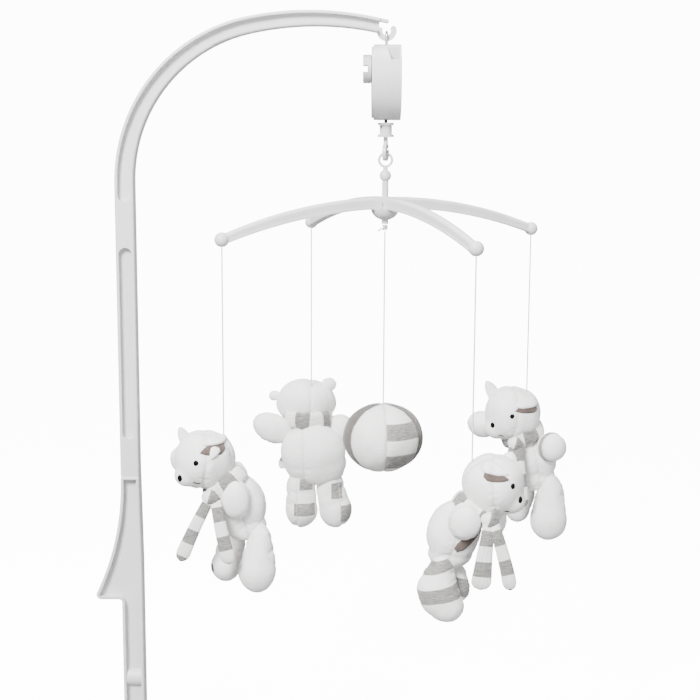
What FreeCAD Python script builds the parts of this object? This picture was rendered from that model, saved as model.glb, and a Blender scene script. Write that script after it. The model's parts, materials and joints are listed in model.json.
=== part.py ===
import FreeCAD, Part
import math
import os
import re

from FreeCAD import Rotation, Vector

# Crib mobile: a clamp-on arm in three moulded lengths, a wind-up music box on the arm's
# hook, and a crossed carrier with four plush animals and a patchwork ball on cords.
# +Z is up and the origin is the middle of the clamp's rail seat.  The arm stands in the
# XZ plane and reaches towards +X.  All sizes are in millimetres and degrees.

doc = FreeCAD.newDocument("crib_mobile")
sheet = doc.addObject("Spreadsheet::Sheet", "Sizes")

SIZES = [
    # arm section, shared by its three lengths
    ("post_width", 18.4),
    ("arm_depth", 18.0),
    ("arm_web", 6.0),
    ("arm_rim", 2.9),
    ("edge_round", 2.0),
    ("socket_wall", 2.6),
    ("socket_slack", 0.25),
    ("tongue_length", 30.0),
    # clamp bracket
    ("bar_width", 21.0),
    ("bar_depth", 20.0),
    ("seat_length", 17.5),
    ("seat_fillet", 3.0),
    ("tip_radius", 4.9),
    ("flare_radius", 265.0),
    ("bracket_neck", 5.05),
    ("bar_drop", 150.0),
    ("foot_round", 4.0),
    ("sleeve_radius", 9.4),
    ("sleeve_drop", 84.0),
    ("clamp_drop", 130.0),
    ("bolt_radius", 2.9),
    ("bolt_slack", 0.3),
    # clamp hardware
    ("rail_room", 34.0),
    ("bolt_head_radius", 7.0),
    ("bolt_head_height", 3.4),
    ("bolt_tail", 16.0),
    ("plate_width", 26.0),
    ("plate_height", 30.0),
    ("plate_thick", 6.0),
    ("pad_thick", 2.0),
    ("nut_radius", 6.2),
    ("nut_length", 12.0),
    ("wing_span", 36.0),
    ("wing_thick", 3.2),
    # middle post and arch
    ("post_length", 233.0),
    ("plain_length", 37.4),
    ("pocket_margin", 6.6),
    ("arch_straight", 55.0),
    ("bend_radius", 152.0),
    ("bend_sweep", 78.0),
    ("hub_reach", 250.0),
    ("tip_width", 13.6),
    ("tip_gap", 7.4),
    ("flange_reach", 7.0),
    ("hook_outer", 9.3),
    ("hook_inner", 4.0),
    ("hook_fall", 5.0),
    # music box
    ("case_radius", 35.4),
    ("case_wall", 1.8),
    ("case_width", 27.6),
    ("left_shell", 8.8),
    ("rim_step", 2.0),
    ("box_gap", 3.0),
    ("block_width", 17.0),
    ("block_depth", 40.0),
    ("block_height", 15.0),
    ("recess_top", 13.0),
    ("recess_foot", 8.0),
    ("recess_back", 15.0),
    ("wire_radius", 1.3),
    ("bail_leg", 12.0),
    ("bail_slack", 0.9),
    ("running_gap", 0.3),
    ("knob_radius", 13.4),
    ("knob_width", 8.0),
    ("knob_rise", 12.5),
    ("knob_slot", 6.0),
    ("knob_slot_depth", 4.6),
    ("arbor_radius", 2.4),
    ("barrel_radius", 10.0),
    ("barrel_length", 7.0),
    ("plate_radius", 30.0),
    ("frame_thick", 1.6),
    ("drum_radius", 5.0),
    ("drum_length", 13.0),
    ("drum_shaft", 1.2),
    ("drum_back", 14.0),
    ("drum_fall", 6.0),
    ("comb_length", 16.0),
    ("comb_thick", 1.0),
    ("tooth_slot", 0.4),
    ("spindle_radius", 1.6),
    ("spindle_rise", 18.0),
    ("spindle_grip", 8.0),
    ("output_gear_radius", 8.0),
    ("output_gear_thick", 2.4),
    ("spindle_show", 2.2),
    # coupler, snap hook and carrier
    ("spool_radius", 7.7),
    ("spool_waist", 5.9),
    ("spool_height", 13.6),
    ("spool_flange", 2.4),
    ("clip_outer", 8.0),
    ("clip_inner", 3.0),
    ("clip_thick", 3.4),
    ("clip_gap", 3.0),
    ("clip_neck", 2.2),
    ("clip_drop", 14.6),
    ("clip_turn", 76.0),
    ("ring_radius", 6.15),
    ("ring_wire", 1.25),
    ("ring_ball", 5.6),
    ("ring_ball_drop", 14.9),
    ("stem_radius", 3.05),
    ("stem_reach", 35.0),
    ("spoke_reach", 168.4),
    ("spoke_turn", 26.5),
    ("spoke_width", 8.0),
    ("spoke_height", 11.4),
    ("spoke_tip_height", 9.0),
    ("spoke_droop", 30.0),
    ("spoke_round", 3.4),
    ("lip_height", 1.8),
    ("lip_width", 9.6),
    ("spoke_ball", 6.8),
    ("cap_radius", 14.0),
    ("cap_height", 10.5),
    ("cap_neck", 3.2),
    ("cap_neck_length", 4.0),
    ("knot_radius", 3.4),
    # cords and soft pieces
    ("toy_unit", 1.0),
    ("cord_radius", 0.7),
    ("cord_left", 177.8),
    ("cord_front", 181.4),
    ("cord_right", 162.1),
    ("cord_back", 171.9),
    ("cord_middle", 169.0),
    ("ball_radius", 39.5),
    ("ball_height", 69.0),
]

for number, (alias, value) in enumerate(SIZES, 1):
    sheet.set("A%d" % number, alias)
    sheet.set("B%d" % number, str(value))
    sheet.setAlias("B%d" % number, alias)
doc.recompute()


class Cells:
    """Reads a named size from the spreadsheet."""

    def __getattr__(self, alias):
        return float(sheet.get(alias))


s = Cells()
ALIASES = {alias for alias, value in SIZES}
NODES = []
AXES = {
    "x": Rotation(Vector(0, 1, 0), 90),
    "y": Rotation(Vector(1, 0, 0), -90),
    "z": Rotation(),
}
UPRIGHT = Rotation(Vector(1, 0, 0), 90)


def bind(thing, prop, formula):
    """Ties one property of an object to a formula of sheet sizes."""
    text = re.sub(r"[a-z_]+", lambda w: "Sizes." + w[0] if w[0] in ALIASES else w[0], formula)
    thing.setExpression(prop, text)


def cylinder(name, radius, height, base, axis="z"):
    thing = doc.addObject("Part::Cylinder", name)
    bind(thing, "Radius", radius)
    bind(thing, "Height", height)
    thing.Placement = FreeCAD.Placement(Vector(*base), AXES[axis])
    return thing


def cone(name, low, high, height, base, axis="z"):
    thing = doc.addObject("Part::Cone", name)
    bind(thing, "Radius1", low)
    bind(thing, "Radius2", high)
    bind(thing, "Height", height)
    thing.Placement = FreeCAD.Placement(Vector(*base), AXES[axis])
    return thing


def sphere(name, radius, centre):
    thing = doc.addObject("Part::Sphere", name)
    bind(thing, "Radius", radius)
    thing.Placement.Base = Vector(*centre)
    return thing


def box(name, sizes, corner):
    thing = doc.addObject("Part::Box", name)
    for prop, formula in zip(("Length", "Width", "Height"), sizes):
        bind(thing, prop, formula)
    thing.Placement.Base = Vector(*corner)
    return thing


def fuse(name, things):
    thing = doc.addObject("Part::MultiFuse", name)
    thing.Shapes = things
    return thing


def cut(name, base, tool):
    thing = doc.addObject("Part::Cut", name)
    thing.Base = base
    thing.Tool = tool
    return thing


def common(name, things):
    thing = doc.addObject("Part::MultiCommon", name)
    thing.Shapes = things
    return thing


def line(a, b):
    return Part.LineSegment(Vector(a[0], a[1], 0), Vector(b[0], b[1], 0))


def arc(a, b, c):
    return Part.Arc(Vector(a[0], a[1], 0), Vector(b[0], b[1], 0), Vector(c[0], c[1], 0))


def polar(centre, radius, degrees):
    turn = math.radians(degrees)
    return (centre[0] + radius * math.cos(turn), centre[1] + radius * math.sin(turn))


def polygon(points):
    return [line(a, b) for a, b in zip(points, points[1:] + points[:1])]


def outline(name, pieces, rotation=UPRIGHT, base=(0, 0, 0)):
    """A closed sketch; upright ones are drawn as X to the right and Z up."""
    sketch = doc.addObject("Sketcher::SketchObject", name)
    sketch.addGeometry(pieces)
    sketch.Placement = FreeCAD.Placement(Vector(*base), rotation)
    return sketch


def pad(name, sketch, length):
    """Extrudes a sketch equally to both sides of its own plane."""
    thing = doc.addObject("Part::Extrusion", name)
    thing.Base = sketch
    thing.DirMode = "Normal"
    thing.Symmetric = True
    thing.Solid = True
    bind(thing, "LengthFwd", length)
    return thing


def revolve(name, sketch, base, direction):
    thing = doc.addObject("Part::Revolution", name)
    thing.Source = sketch
    thing.Axis = Vector(*direction)
    thing.Base = Vector(*base)
    thing.Angle = 360
    thing.Solid = True
    return thing


def soften(name, base, radius, chosen):
    """Rounds the edges of base that the chosen test picks."""
    doc.recompute()
    thing = doc.addObject("Part::Fillet", name)
    thing.Base = base
    edges = enumerate(base.Shape.Edges, 1)
    thing.Edges = [(i, radius, radius) for i, edge in edges if chosen(edge)]
    return thing


def node(thing, label):
    """Marks an object as a finished piece, named as its file."""
    thing.Label = label
    NODES.append(thing)
    return thing


def solid_node(shape, label):
    """A piece whose shape is computed, such as a soft one."""
    thing = doc.addObject("Part::Feature", label)
    thing.Shape = shape
    return node(thing, label)


def on_side(depth):
    """Picks the edges that lie in the two side planes of a part."""
    return lambda edge: all(abs(abs(v.Y) - depth / 2) < 1e-4 for v in edge.Vertexes)


# ---------------------------------------------------------------- places
post_x = s.bar_width / 2 + s.seat_fillet + s.seat_length / 2
hub_x = post_x + s.hub_reach
flare_x = -s.post_width / 2 - s.flare_radius
toe_x = -s.bar_width / 2 - s.seat_fillet - s.seat_length
flare_z = s.tip_radius + math.sqrt((s.flare_radius + s.tip_radius) ** 2 - (toe_x - flare_x) ** 2)
bracket_top = flare_z + s.bracket_neck
post_top = bracket_top + s.post_length
bend_z = post_top + s.arch_straight
rise = 90 - s.bend_sweep
bend_end = polar((s.bend_radius, bend_z), s.bend_radius, 180 - s.bend_sweep)
crown_span = s.hub_reach - s.tip_gap - bend_end[0]
crown_radius = crown_span / (2 * math.sin(math.radians(rise)))
crown_centre = polar(bend_end, -crown_radius, 90 + rise)
hook_z = bend_end[1] - s.hook_fall
case_z = hook_z - s.hook_outer - s.box_gap - s.case_radius
case_low = case_z - s.case_radius
case_left = hub_x - s.case_width / 2
knob_z = case_z + s.knob_rise
spool_top = case_low - s.spindle_show
spool_low = spool_top - s.spool_height
clip_z = spool_low - s.clip_drop
ring_sag = s.ring_radius - s.ring_wire - math.sqrt(
    (s.ring_radius - s.ring_wire) ** 2 - (0.6 * s.clip_thick) ** 2
)
ring_z = clip_z - s.clip_inner + s.running_gap + ring_sag - s.ring_radius + s.ring_wire
ball_z = ring_z - s.ring_ball_drop
hub_z = ring_z - s.stem_reach
spoke_z = hub_z - s.spoke_height / 2
spoke_end_z = spoke_z - s.spoke_droop
cord_top = spoke_end_z - s.spoke_ball - s.running_gap
bar_arc = (s.spoke_reach**2 + s.spoke_droop**2) / (2 * s.spoke_droop)
cap_sag = bar_arc - math.sqrt(bar_arc**2 - s.cap_radius**2)
cap_low = hub_z - s.spoke_height - cap_sag - s.cap_height
knot_z = cap_low - s.cap_neck_length - s.knot_radius
bail_half = s.arm_web / 2 + s.bail_slack + s.wire_radius
bail_rise = math.sqrt((bail_half - s.wire_radius) ** 2 - (s.arm_web / 2) ** 2)
bail_crown = hook_z - s.hook_inner + s.running_gap - bail_rise
plate_left = case_left + s.case_width - s.case_wall - 2 * s.frame_thick
BOSSES = [(-0.7, -0.3), (0.7, -0.3), (0, -0.85)]


# ---------------------------------------------------------------- clamp bracket
def bracket_outline():
    """Bar with a flared nose: the nose's flat underside is the rail seat."""
    half = s.bar_width / 2
    top = s.post_width / 2
    heel = -half - s.seat_fillet
    toe = toe_x
    meet = math.degrees(math.atan2(s.tip_radius - flare_z, toe - flare_x))
    flare = (flare_x, flare_z)
    tip = (toe, s.tip_radius)
    inner = (heel, -s.seat_fillet)
    low = -s.bar_drop
    foot = s.foot_round
    left_foot = (-half + foot, low + foot)
    right_foot = (half - foot, low + foot)
    shoulder = (half, s.tip_radius * 8)
    return [
        line((-top, bracket_top), (-top, flare_z)),
        arc((-top, flare_z), polar(flare, s.flare_radius, meet / 2), polar(flare, s.flare_radius, meet)),
        arc(polar(tip, s.tip_radius, meet + 180), polar(tip, s.tip_radius, (meet + 450) / 2), (toe, 0)),
        line((toe, 0), (heel, 0)),
        arc((heel, 0), polar(inner, s.seat_fillet, 45), (-half, -s.seat_fillet)),
        line((-half, -s.seat_fillet), (-half, low + foot)),
        arc((-half, low + foot), polar(left_foot, foot, 225), (-half + foot, low)),
        line((-half + foot, low), (half - foot, low)),
        arc((half - foot, low), polar(right_foot, foot, 315), (half, low + foot)),
        line((half, low + foot), shoulder),
        line(shoulder, (top, bracket_top)),
        line((top, bracket_top), (-top, bracket_top)),
    ]


def tongue(name, low):
    """Solid tongue that a socket of the next length slides over."""
    inset = "2 * (socket_wall + socket_slack)"
    wide = s.post_width / 2 - s.socket_wall - s.socket_slack
    deep = s.arm_depth / 2 - s.socket_wall - s.socket_slack
    sizes = ("post_width - " + inset, "arm_depth - " + inset, "tongue_length + 4")
    return box(name, sizes, (post_x - wide, -deep, low - 4))


def socket(name, low):
    """Cavity that takes a tongue with slack all round."""
    wide = s.post_width / 2 - s.socket_wall
    deep = s.arm_depth / 2 - s.socket_wall
    sizes = ("post_width - 2 * socket_wall", "arm_depth - 2 * socket_wall", "tongue_length + 1")
    return box(name, sizes, (post_x - wide, -deep, low))


def web_slab(name, length, height, corner):
    """Middle layer that a pocket leaves standing."""
    return box(name, (length, "arm_web", height), (corner[0], -s.arm_web / 2, corner[1]))


def bracket():
    sketch = outline("bracket_outline", bracket_outline(), base=(post_x, 0, 0))
    plain = pad("bracket_plain", sketch, "bar_depth")
    rounded = soften("bracket_rounded", plain, s.edge_round, on_side(s.bar_depth))
    inner = doc.addObject("Part::Offset2D", "bracket_inner")
    inner.Source = sketch
    inner.Join = 2
    bind(inner, "Value", "-arm_rim")
    tool = pad("bracket_tool", inner, "bar_depth + 2")
    slab = web_slab("bracket_web", "bar_width * 4", "bar_drop * 2", (post_x - s.bar_width * 2, -s.bar_drop))
    hollow = cut("bracket_hollow", tool, slab)
    pocketed = cut("bracket_pocketed", rounded, hollow)
    left = post_x - s.bar_width / 2
    sleeves = []
    holes = []
    for label, drop in (("upper", s.sleeve_drop), ("lower", s.clamp_drop)):
        inset = (left + s.arm_rim / 2, 0, -drop)
        sleeves.append(cylinder(label + "_sleeve", "sleeve_radius", "bar_width - arm_rim", inset, "x"))
        start = (left - 1, 0, -drop)
        radius = "bolt_radius + bolt_slack"
        holes.append(cylinder(label + "_hole", radius, "bar_width + 2", start, "x"))
    parts = [pocketed, tongue("bracket_tongue", bracket_top)] + sleeves
    whole = fuse("bracket_whole", parts)
    bored = cut("clamp_bracket", whole, fuse("bracket_holes", holes))
    node(bored, "clamp_bracket")


# ---------------------------------------------------------------- middle post
def obround(name, left, right, low, high, depth):
    radius = (right - left) / 2
    middle = (left + right) / 2
    pieces = [
        line((left, low + radius), (left, high - radius)),
        arc((left, high - radius), (middle, high), (right, high - radius)),
        line((right, high - radius), (right, low + radius)),
        arc((right, low + radius), (middle, low), (left, low + radius)),
    ]
    return pad(name, outline(name + "_outline", pieces), depth)


def middle_post():
    half = s.post_width / 2
    corner = (post_x - half, -s.arm_depth / 2, bracket_top)
    plain = box("post_plain", ("post_width", "arm_depth", "post_length"), corner)

    def upright(edge):
        return abs(edge.Vertexes[0].Z - edge.Vertexes[-1].Z) > s.post_length / 2

    rounded = soften("post_rounded", plain, s.edge_round, upright)
    left = post_x - half + s.arm_rim
    right = post_x + half - s.arm_rim
    low = bracket_top + s.plain_length
    tool = obround("post_pocket", left, right, low, post_top - s.pocket_margin, "arm_depth + 2")
    slab = web_slab("post_web", "post_width * 2", "post_length", (post_x - s.post_width, bracket_top))
    pocketed = cut("post_pocketed", rounded, cut("post_hollow", tool, slab))
    whole = fuse("post_whole", [pocketed, tongue("post_tongue", post_top)])
    node(cut("middle_post", whole, socket("post_socket", bracket_top - 0.5)), "middle_post")


# ---------------------------------------------------------------- arch arm
def arch_point(share, offset):
    """Point beside the arch's centre line: 0 to 1 along the bend, 1 to 2 along the crown."""
    if share <= 1:
        angle = 180 - s.bend_sweep * share
        point = polar((s.bend_radius, bend_z), s.bend_radius + offset, angle)
    else:
        angle = 90 + rise - 2 * rise * (share - 1)
        point = polar(crown_centre, crown_radius + offset, angle)
    return (post_x + point[0], point[1])


def arch_band(shrink, low, start_round):
    """Closed band along the arch that thins from the post's width to the tip's width."""
    wide = s.post_width / 2 - shrink
    slim = s.tip_width / 2 - shrink
    mid = (wide + slim) / 2
    first = (wide + mid) / 2
    last = (mid + slim) / 2
    left = post_x - wide
    right = post_x + wide
    pieces = [
        line((left, low), (left, bend_z)),
        arc((left, bend_z), arch_point(0.5, first), arch_point(1, mid)),
        arc(arch_point(1, mid), arch_point(1.5, last), arch_point(2, slim)),
        line(arch_point(2, slim), arch_point(2, -slim)),
        arc(arch_point(2, -slim), arch_point(1.5, -last), arch_point(1, -mid)),
        arc(arch_point(1, -mid), arch_point(0.5, -first), (right, bend_z)),
        line((right, bend_z), (right, low)),
    ]
    if start_round:
        pieces.append(arc((right, low), (post_x, low - wide), (left, low)))
    else:
        pieces.append(line((right, low), (left, low)))
    return pieces


def hook_outline():
    """C-shaped hook, open at the top, whose left horn runs into the arch's web."""
    centre = (hub_x, hook_z)
    middle = (s.hook_outer + s.hook_inner) / 2
    start = 150
    end = 378
    tip = polar(centre, middle, end + math.degrees((s.hook_outer - s.hook_inner) / 2 / middle))
    return [
        arc(polar(centre, s.hook_outer, start), polar(centre, s.hook_outer, 265), polar(centre, s.hook_outer, end)),
        arc(polar(centre, s.hook_outer, end), tip, polar(centre, s.hook_inner, end)),
        arc(polar(centre, s.hook_inner, end), polar(centre, s.hook_inner, 265), polar(centre, s.hook_inner, start)),
        line(polar(centre, s.hook_inner, start), polar(centre, s.hook_outer, start)),
    ]


def flange_outline():
    """Top rim of the arch, carried past the web's end above the hook, with a round nose."""
    slim = s.tip_width / 2
    outer = arch_point(2, slim)
    inner = arch_point(2, slim - s.arm_rim)
    lean = math.radians(-rise)
    along = (math.cos(lean) * s.flange_reach, math.sin(lean) * s.flange_reach)
    outer_end = (outer[0] + along[0], outer[1] + along[1])
    inner_end = (inner[0] + along[0], inner[1] + along[1])
    middle = ((outer_end[0] + inner_end[0]) / 2, (outer_end[1] + inner_end[1]) / 2)
    nose = polar(middle, s.arm_rim / 2, -rise)
    back_outer = arch_point(1.97, slim)
    back_inner = arch_point(1.97, slim - s.arm_rim)
    return [
        line(back_outer, outer),
        line(outer, outer_end),
        arc(outer_end, nose, inner_end),
        line(inner_end, back_inner),
        line(back_inner, back_outer),
    ]


def arch_arm():
    plain = pad("arch_plain", outline("arch_outline", arch_band(0, post_top, False)), "arm_depth")

    def long_side(edge):
        return on_side(s.arm_depth)(edge) and edge.Length > s.post_width * 1.2

    rounded = soften("arch_rounded", plain, s.edge_round, long_side)
    start = post_top + s.plain_length + s.post_width / 2 - s.arm_rim
    tool = pad("arch_pocket", outline("arch_pocket_outline", arch_band(s.arm_rim, start, True)), "arm_depth + 2")
    slab = web_slab("arch_web", "hub_reach * 1.2", "hub_reach * 1.2", (post_x - s.post_width, post_top))
    pocketed = cut("arch_pocketed", rounded, cut("arch_hollow", tool, slab))
    hook = pad("arch_hook", outline("hook_outline", hook_outline()), "arm_web")
    flange = pad("arch_flange", outline("flange_outline", flange_outline()), "arm_depth - 2 * edge_round")
    whole = fuse("arch_whole", [pocketed, hook, flange])
    node(cut("arch_arm", whole, socket("arch_socket", post_top - 0.5)), "arch_arm")


# ---------------------------------------------------------------- clamp hardware
def clamp_hardware():
    face = post_x - s.bar_width / 2
    right = post_x + s.bar_width / 2
    z = -s.clamp_drop
    plate_right = face - s.rail_room
    plate_left = plate_right - s.plate_thick - s.pad_thick
    nut_right = plate_left - s.running_gap
    nut_left = nut_right - s.nut_length
    bolt_left = nut_left - s.bolt_tail
    shank = doc.addObject("Part::Cylinder", "bolt_shank")
    bind(shank, "Radius", "bolt_radius")
    reach = "bar_width + rail_room + plate_thick + pad_thick + running_gap + nut_length + bolt_tail"
    bind(shank, "Height", reach)
    shank.Placement = FreeCAD.Placement(Vector(bolt_left, 0, z), AXES["x"])
    head = cone("bolt_head", "bolt_head_radius", "bolt_head_radius * 0.6", "bolt_head_height", (right, 0, z), "x")
    node(fuse("clamp_bolt", [shank, head]), "clamp_bolt")
    bore = cylinder("plate_bore", "bolt_radius + bolt_slack", "plate_thick + pad_thick + 2", (plate_left - 1, 0, z), "x")
    corner = (plate_left, -s.plate_width / 2, z - s.plate_height / 2)
    body = box("plate_body", ("plate_thick", "plate_width", "plate_height"), corner)
    hole = cylinder("pad_bore", "bolt_radius + bolt_slack", "plate_thick + pad_thick + 2", (plate_left - 1, 0, z), "x")

    def along_x(edge):
        return abs(edge.Vertexes[0].X - edge.Vertexes[-1].X) > s.plate_thick / 2

    rounded = soften("plate_rounded", body, s.foot_round, along_x)
    node(cut("pressure_plate", rounded, bore), "pressure_plate")
    pad_corner = (plate_right - s.pad_thick, 2 - s.plate_width / 2, z + 2 - s.plate_height / 2)
    grip = box("grip_body", ("pad_thick", "plate_width - 4", "plate_height - 4"), pad_corner)
    node(cut("grip_pad", grip, hole), "grip_pad")
    hub = cylinder("nut_hub", "nut_radius", "nut_length", (nut_left, 0, z), "x")
    wing_corner = (nut_left - 2, -s.wing_thick / 2, z - s.wing_span / 2)
    wings = box("nut_wings", ("nut_length * 0.7", "wing_thick", "wing_span"), wing_corner)

    def wing_end(edge):
        level = abs(edge.Vertexes[0].X - edge.Vertexes[-1].X) < 1e-4
        return level and abs(edge.Vertexes[0].Z - edge.Vertexes[-1].Z) < 1e-4

    rounded_wings = soften("nut_wings_rounded", wings, s.wing_thick, wing_end)
    nut = fuse("nut_whole", [hub, rounded_wings])
    bore = cylinder("nut_bore", "bolt_radius + bolt_slack", "nut_length + 6", (nut_left - 3, 0, z), "x")
    node(cut("wing_nut", nut, bore), "wing_nut")


# ---------------------------------------------------------------- music box
def drum(name, radius, width, left):
    return cylinder(name, radius, width, (left, 0, case_z), "x")


def music_case():
    """Round case in two shells, with a hanging block moulded in the top of the deep one."""
    seam = case_left + s.left_shell
    hole = cylinder(
        "knob_hole", "arbor_radius + running_gap", "case_wall + rim_step + 2", (case_left - 1, 0, knob_z), "x"
    )
    step = drum("left_step", "case_radius - rim_step", "rim_step", case_left)
    skin = drum("left_skin", "case_radius", "left_shell - rim_step", case_left + s.rim_step)
    room = drum("left_room", "case_radius - case_wall - rim_step", "left_shell", case_left + s.case_wall)
    shell = cut("left_hollow", fuse("left_solid", [step, skin]), room)
    node(cut("case_left", shell, hole), "case_left")

    width = "case_width - left_shell"
    skin = drum("right_skin", "case_radius", width, seam)
    inside = drum("right_room", "case_radius - case_wall", width + " - case_wall", seam)
    shell = cut("right_hollow", skin, inside)
    block_right = case_left + s.case_width
    block_left = block_right - s.block_width
    block_low = case_z + s.case_radius - s.block_height
    sizes = ("block_width", "block_depth", "block_height + 1")
    blank = box("block_blank", sizes, (block_left, -s.block_depth / 2, block_low))
    block = common("block_round", [blank, drum("block_limit", "case_radius", width, seam)])
    bosses = []
    for number, (across, height) in enumerate(BOSSES, 1):
        place = (block_right - s.case_wall - s.frame_thick, across * s.plate_radius, case_z + height * s.plate_radius)
        bosses.append(cylinder("boss_%d" % number, "frame_thick * 2", "frame_thick + case_wall / 2", place, "x"))
    whole = fuse("right_whole", [shell, block] + bosses)
    right = block_right - s.case_wall
    points = [
        (right - s.recess_top, block_low + s.block_height * 2),
        (right - s.recess_top, block_low + s.block_height),
        (right - s.recess_foot, block_low),
        (right, block_low),
        (right, block_low + s.block_height * 2),
    ]
    deep = s.case_radius
    recess = pad("recess", outline("recess_outline", polygon(points), base=(0, -deep - s.recess_back, 0)), "2 * case_radius")
    exit_hole = cylinder("exit_hole", "spindle_radius + 2 * running_gap", "case_wall + 4", (hub_x, 0, case_low - 2))
    legs = []
    for side in (-1, 1):
        place = (hub_x, side * bail_half, case_z + s.case_radius - s.bail_leg)
        legs.append(cylinder("leg_hole_%d" % (side + 2), "wire_radius", "bail_leg + 4", place))
    node(cut("case_right", whole, fuse("right_cuts", [recess, exit_hole] + legs)), "case_right")


def bail():
    """Wire loop from the block over the arm's hook."""
    low = case_z + s.case_radius - s.bail_leg
    pieces = []
    for side in (-1, 1):
        place = (hub_x, side * bail_half, low)
        leg = doc.addObject("Part::Cylinder", "bail_leg_%d" % (side + 2))
        bind(leg, "Radius", "wire_radius")
        leg.Height = bail_crown - low
        leg.Placement.Base = Vector(*place)
        pieces.append(leg)
    crown = doc.addObject("Part::Torus", "bail_crown")
    crown.Radius1 = bail_half
    bind(crown, "Radius2", "wire_radius")
    crown.Angle3 = 180
    crown.Placement = FreeCAD.Placement(Vector(hub_x, 0, bail_crown), Rotation(Vector(0, 0, 1), 90) * UPRIGHT)
    node(fuse("hanger_bail", pieces + [crown]), "hanger_bail")


def winder():
    """Knob, arbor and spring barrel that turn together."""
    left = case_left - s.running_gap - s.knob_width
    knob = cylinder("knob_body", "knob_radius", "knob_width", (left, 0, knob_z), "x")
    doc.recompute()
    rounded = soften("knob_rounded", knob, s.edge_round / 2, lambda edge: edge.Closed)
    sizes = ("knob_slot_depth", "knob_radius * 2 + 2", "knob_slot")
    slot = box("knob_slot_space", sizes, (left - 0.01, -s.knob_radius - 1, knob_z - s.knob_slot / 2))
    socket_hole = cylinder("knob_socket", "arbor_radius", "knob_width", (left + s.knob_slot_depth / 2, 0, knob_z), "x")
    node(cut("winding_knob", cut("knob_slotted", rounded, slot), socket_hole), "winding_knob")
    start = left + s.knob_slot_depth
    arbor = doc.addObject("Part::Cylinder", "winding_arbor")
    bind(arbor, "Radius", "arbor_radius")
    arbor.Height = plate_left + s.frame_thick - start
    arbor.Placement = FreeCAD.Placement(Vector(start, 0, knob_z), AXES["x"])
    barrel_left = case_left + s.case_wall + s.running_gap
    barrel = cylinder("barrel_body", "barrel_radius", "barrel_length", (barrel_left, 0, knob_z), "x")
    core = cylinder("barrel_core", "arbor_radius", "barrel_length + 2", (barrel_left - 1, 0, knob_z), "x")
    node(arbor, "winding_arbor")
    node(cut("spring_barrel", barrel, core), "spring_barrel")


def movement():
    """Frame plate with its bearings, the pin drum, the comb and the output spindle's gear."""
    low = case_z + s.case_radius - s.block_height - s.running_gap
    disc = cylinder("plate_disc", "plate_radius", "frame_thick", (plate_left, 0, case_z), "x")
    sizes = ("frame_thick + 2", "plate_radius * 2", "plate_radius * 2")
    corner = (plate_left - 1, -s.plate_radius, low - 2 * s.plate_radius)
    flat = common("plate_flat", [disc, box("plate_limit", sizes, corner)])
    drum_z = case_z - s.drum_fall
    drum_left = plate_left - s.running_gap - s.drum_length
    arm_left = drum_left - s.running_gap - s.frame_thick
    reach = "drum_length + frame_thick + 2 * running_gap"
    under = drum_z - s.drum_radius - s.running_gap - s.frame_thick * 1.5
    half = s.drum_radius * 0.8
    shelf = box("drum_shelf", (reach, "drum_radius * 1.6", "frame_thick"), (arm_left, s.drum_back - half, under))
    height = "drum_radius + running_gap + frame_thick * 1.5 + drum_shaft * 2.5"
    cheek = box("drum_cheek", ("frame_thick", "drum_radius * 1.6", height), (arm_left, s.drum_back - half, under))
    comb_right = s.drum_back - s.drum_radius - s.running_gap
    comb_left = comb_right - s.comb_length
    pedestal_top = drum_z - s.comb_thick / 2
    sizes = ("drum_length", "comb_length / 3", "drum_radius * 1.6")
    pedestal = box("comb_pedestal", sizes, (drum_left + s.running_gap, comb_left, pedestal_top - s.drum_radius * 1.6))
    bearing_z = case_low + s.spindle_rise - s.frame_thick * 1.5
    arm_x = hub_x - 2 * s.spindle_radius
    bearing = doc.addObject("Part::Box", "spindle_bearing")
    bearing.Length = plate_left - arm_x
    bind(bearing, "Width", "spindle_radius * 4")
    bind(bearing, "Height", "frame_thick")
    bearing.Placement.Base = Vector(arm_x, -2 * s.spindle_radius, bearing_z)
    bores = [
        cylinder("arbor_bore", "arbor_radius + running_gap / 2", "frame_thick + 2", (plate_left - 1, 0, knob_z), "x"),
        cylinder(
            "drum_bore", "drum_shaft + running_gap / 2", "drum_length + 4 * frame_thick",
            (arm_left - 1, s.drum_back, drum_z), "x",
        ),
        cylinder("spindle_bore", "spindle_radius + running_gap / 2", "frame_thick + 2", (hub_x, 0, bearing_z - 1)),
    ]
    whole = fuse("plate_whole", [flat, shelf, cheek, pedestal, bearing])
    node(cut("movement_plate", whole, fuse("plate_bores", bores)), "movement_plate")

    shaft = doc.addObject("Part::Cylinder", "drum_shaft_body")
    bind(shaft, "Radius", "drum_shaft")
    shaft.Height = plate_left + s.frame_thick - arm_left
    shaft.Placement = FreeCAD.Placement(Vector(arm_left, s.drum_back, drum_z), AXES["x"])
    barrel = cylinder("drum_body", "drum_radius", "drum_length", (drum_left, s.drum_back, drum_z), "x")
    node(fuse("pin_drum", [shaft, barrel]), "pin_drum")

    teeth = int(s.drum_length // 1.3) - 1
    pitch = s.drum_length / (teeth + 1)
    sizes = ("drum_length", "comb_length", "comb_thick")
    blank = box("comb_blank", sizes, (drum_left + s.running_gap, comb_left, pedestal_top))
    slots = []
    for tooth in range(1, teeth + 1):
        place = (
            drum_left + s.running_gap + tooth * pitch - s.tooth_slot / 2,
            comb_left + s.comb_length * 0.4,
            pedestal_top - 1,
        )
        slots.append(box("comb_slot_%d" % tooth, ("tooth_slot", "comb_length", "comb_thick + 2"), place))
    node(cut("tone_comb", blank, fuse("comb_slots", slots)), "tone_comb")


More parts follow.
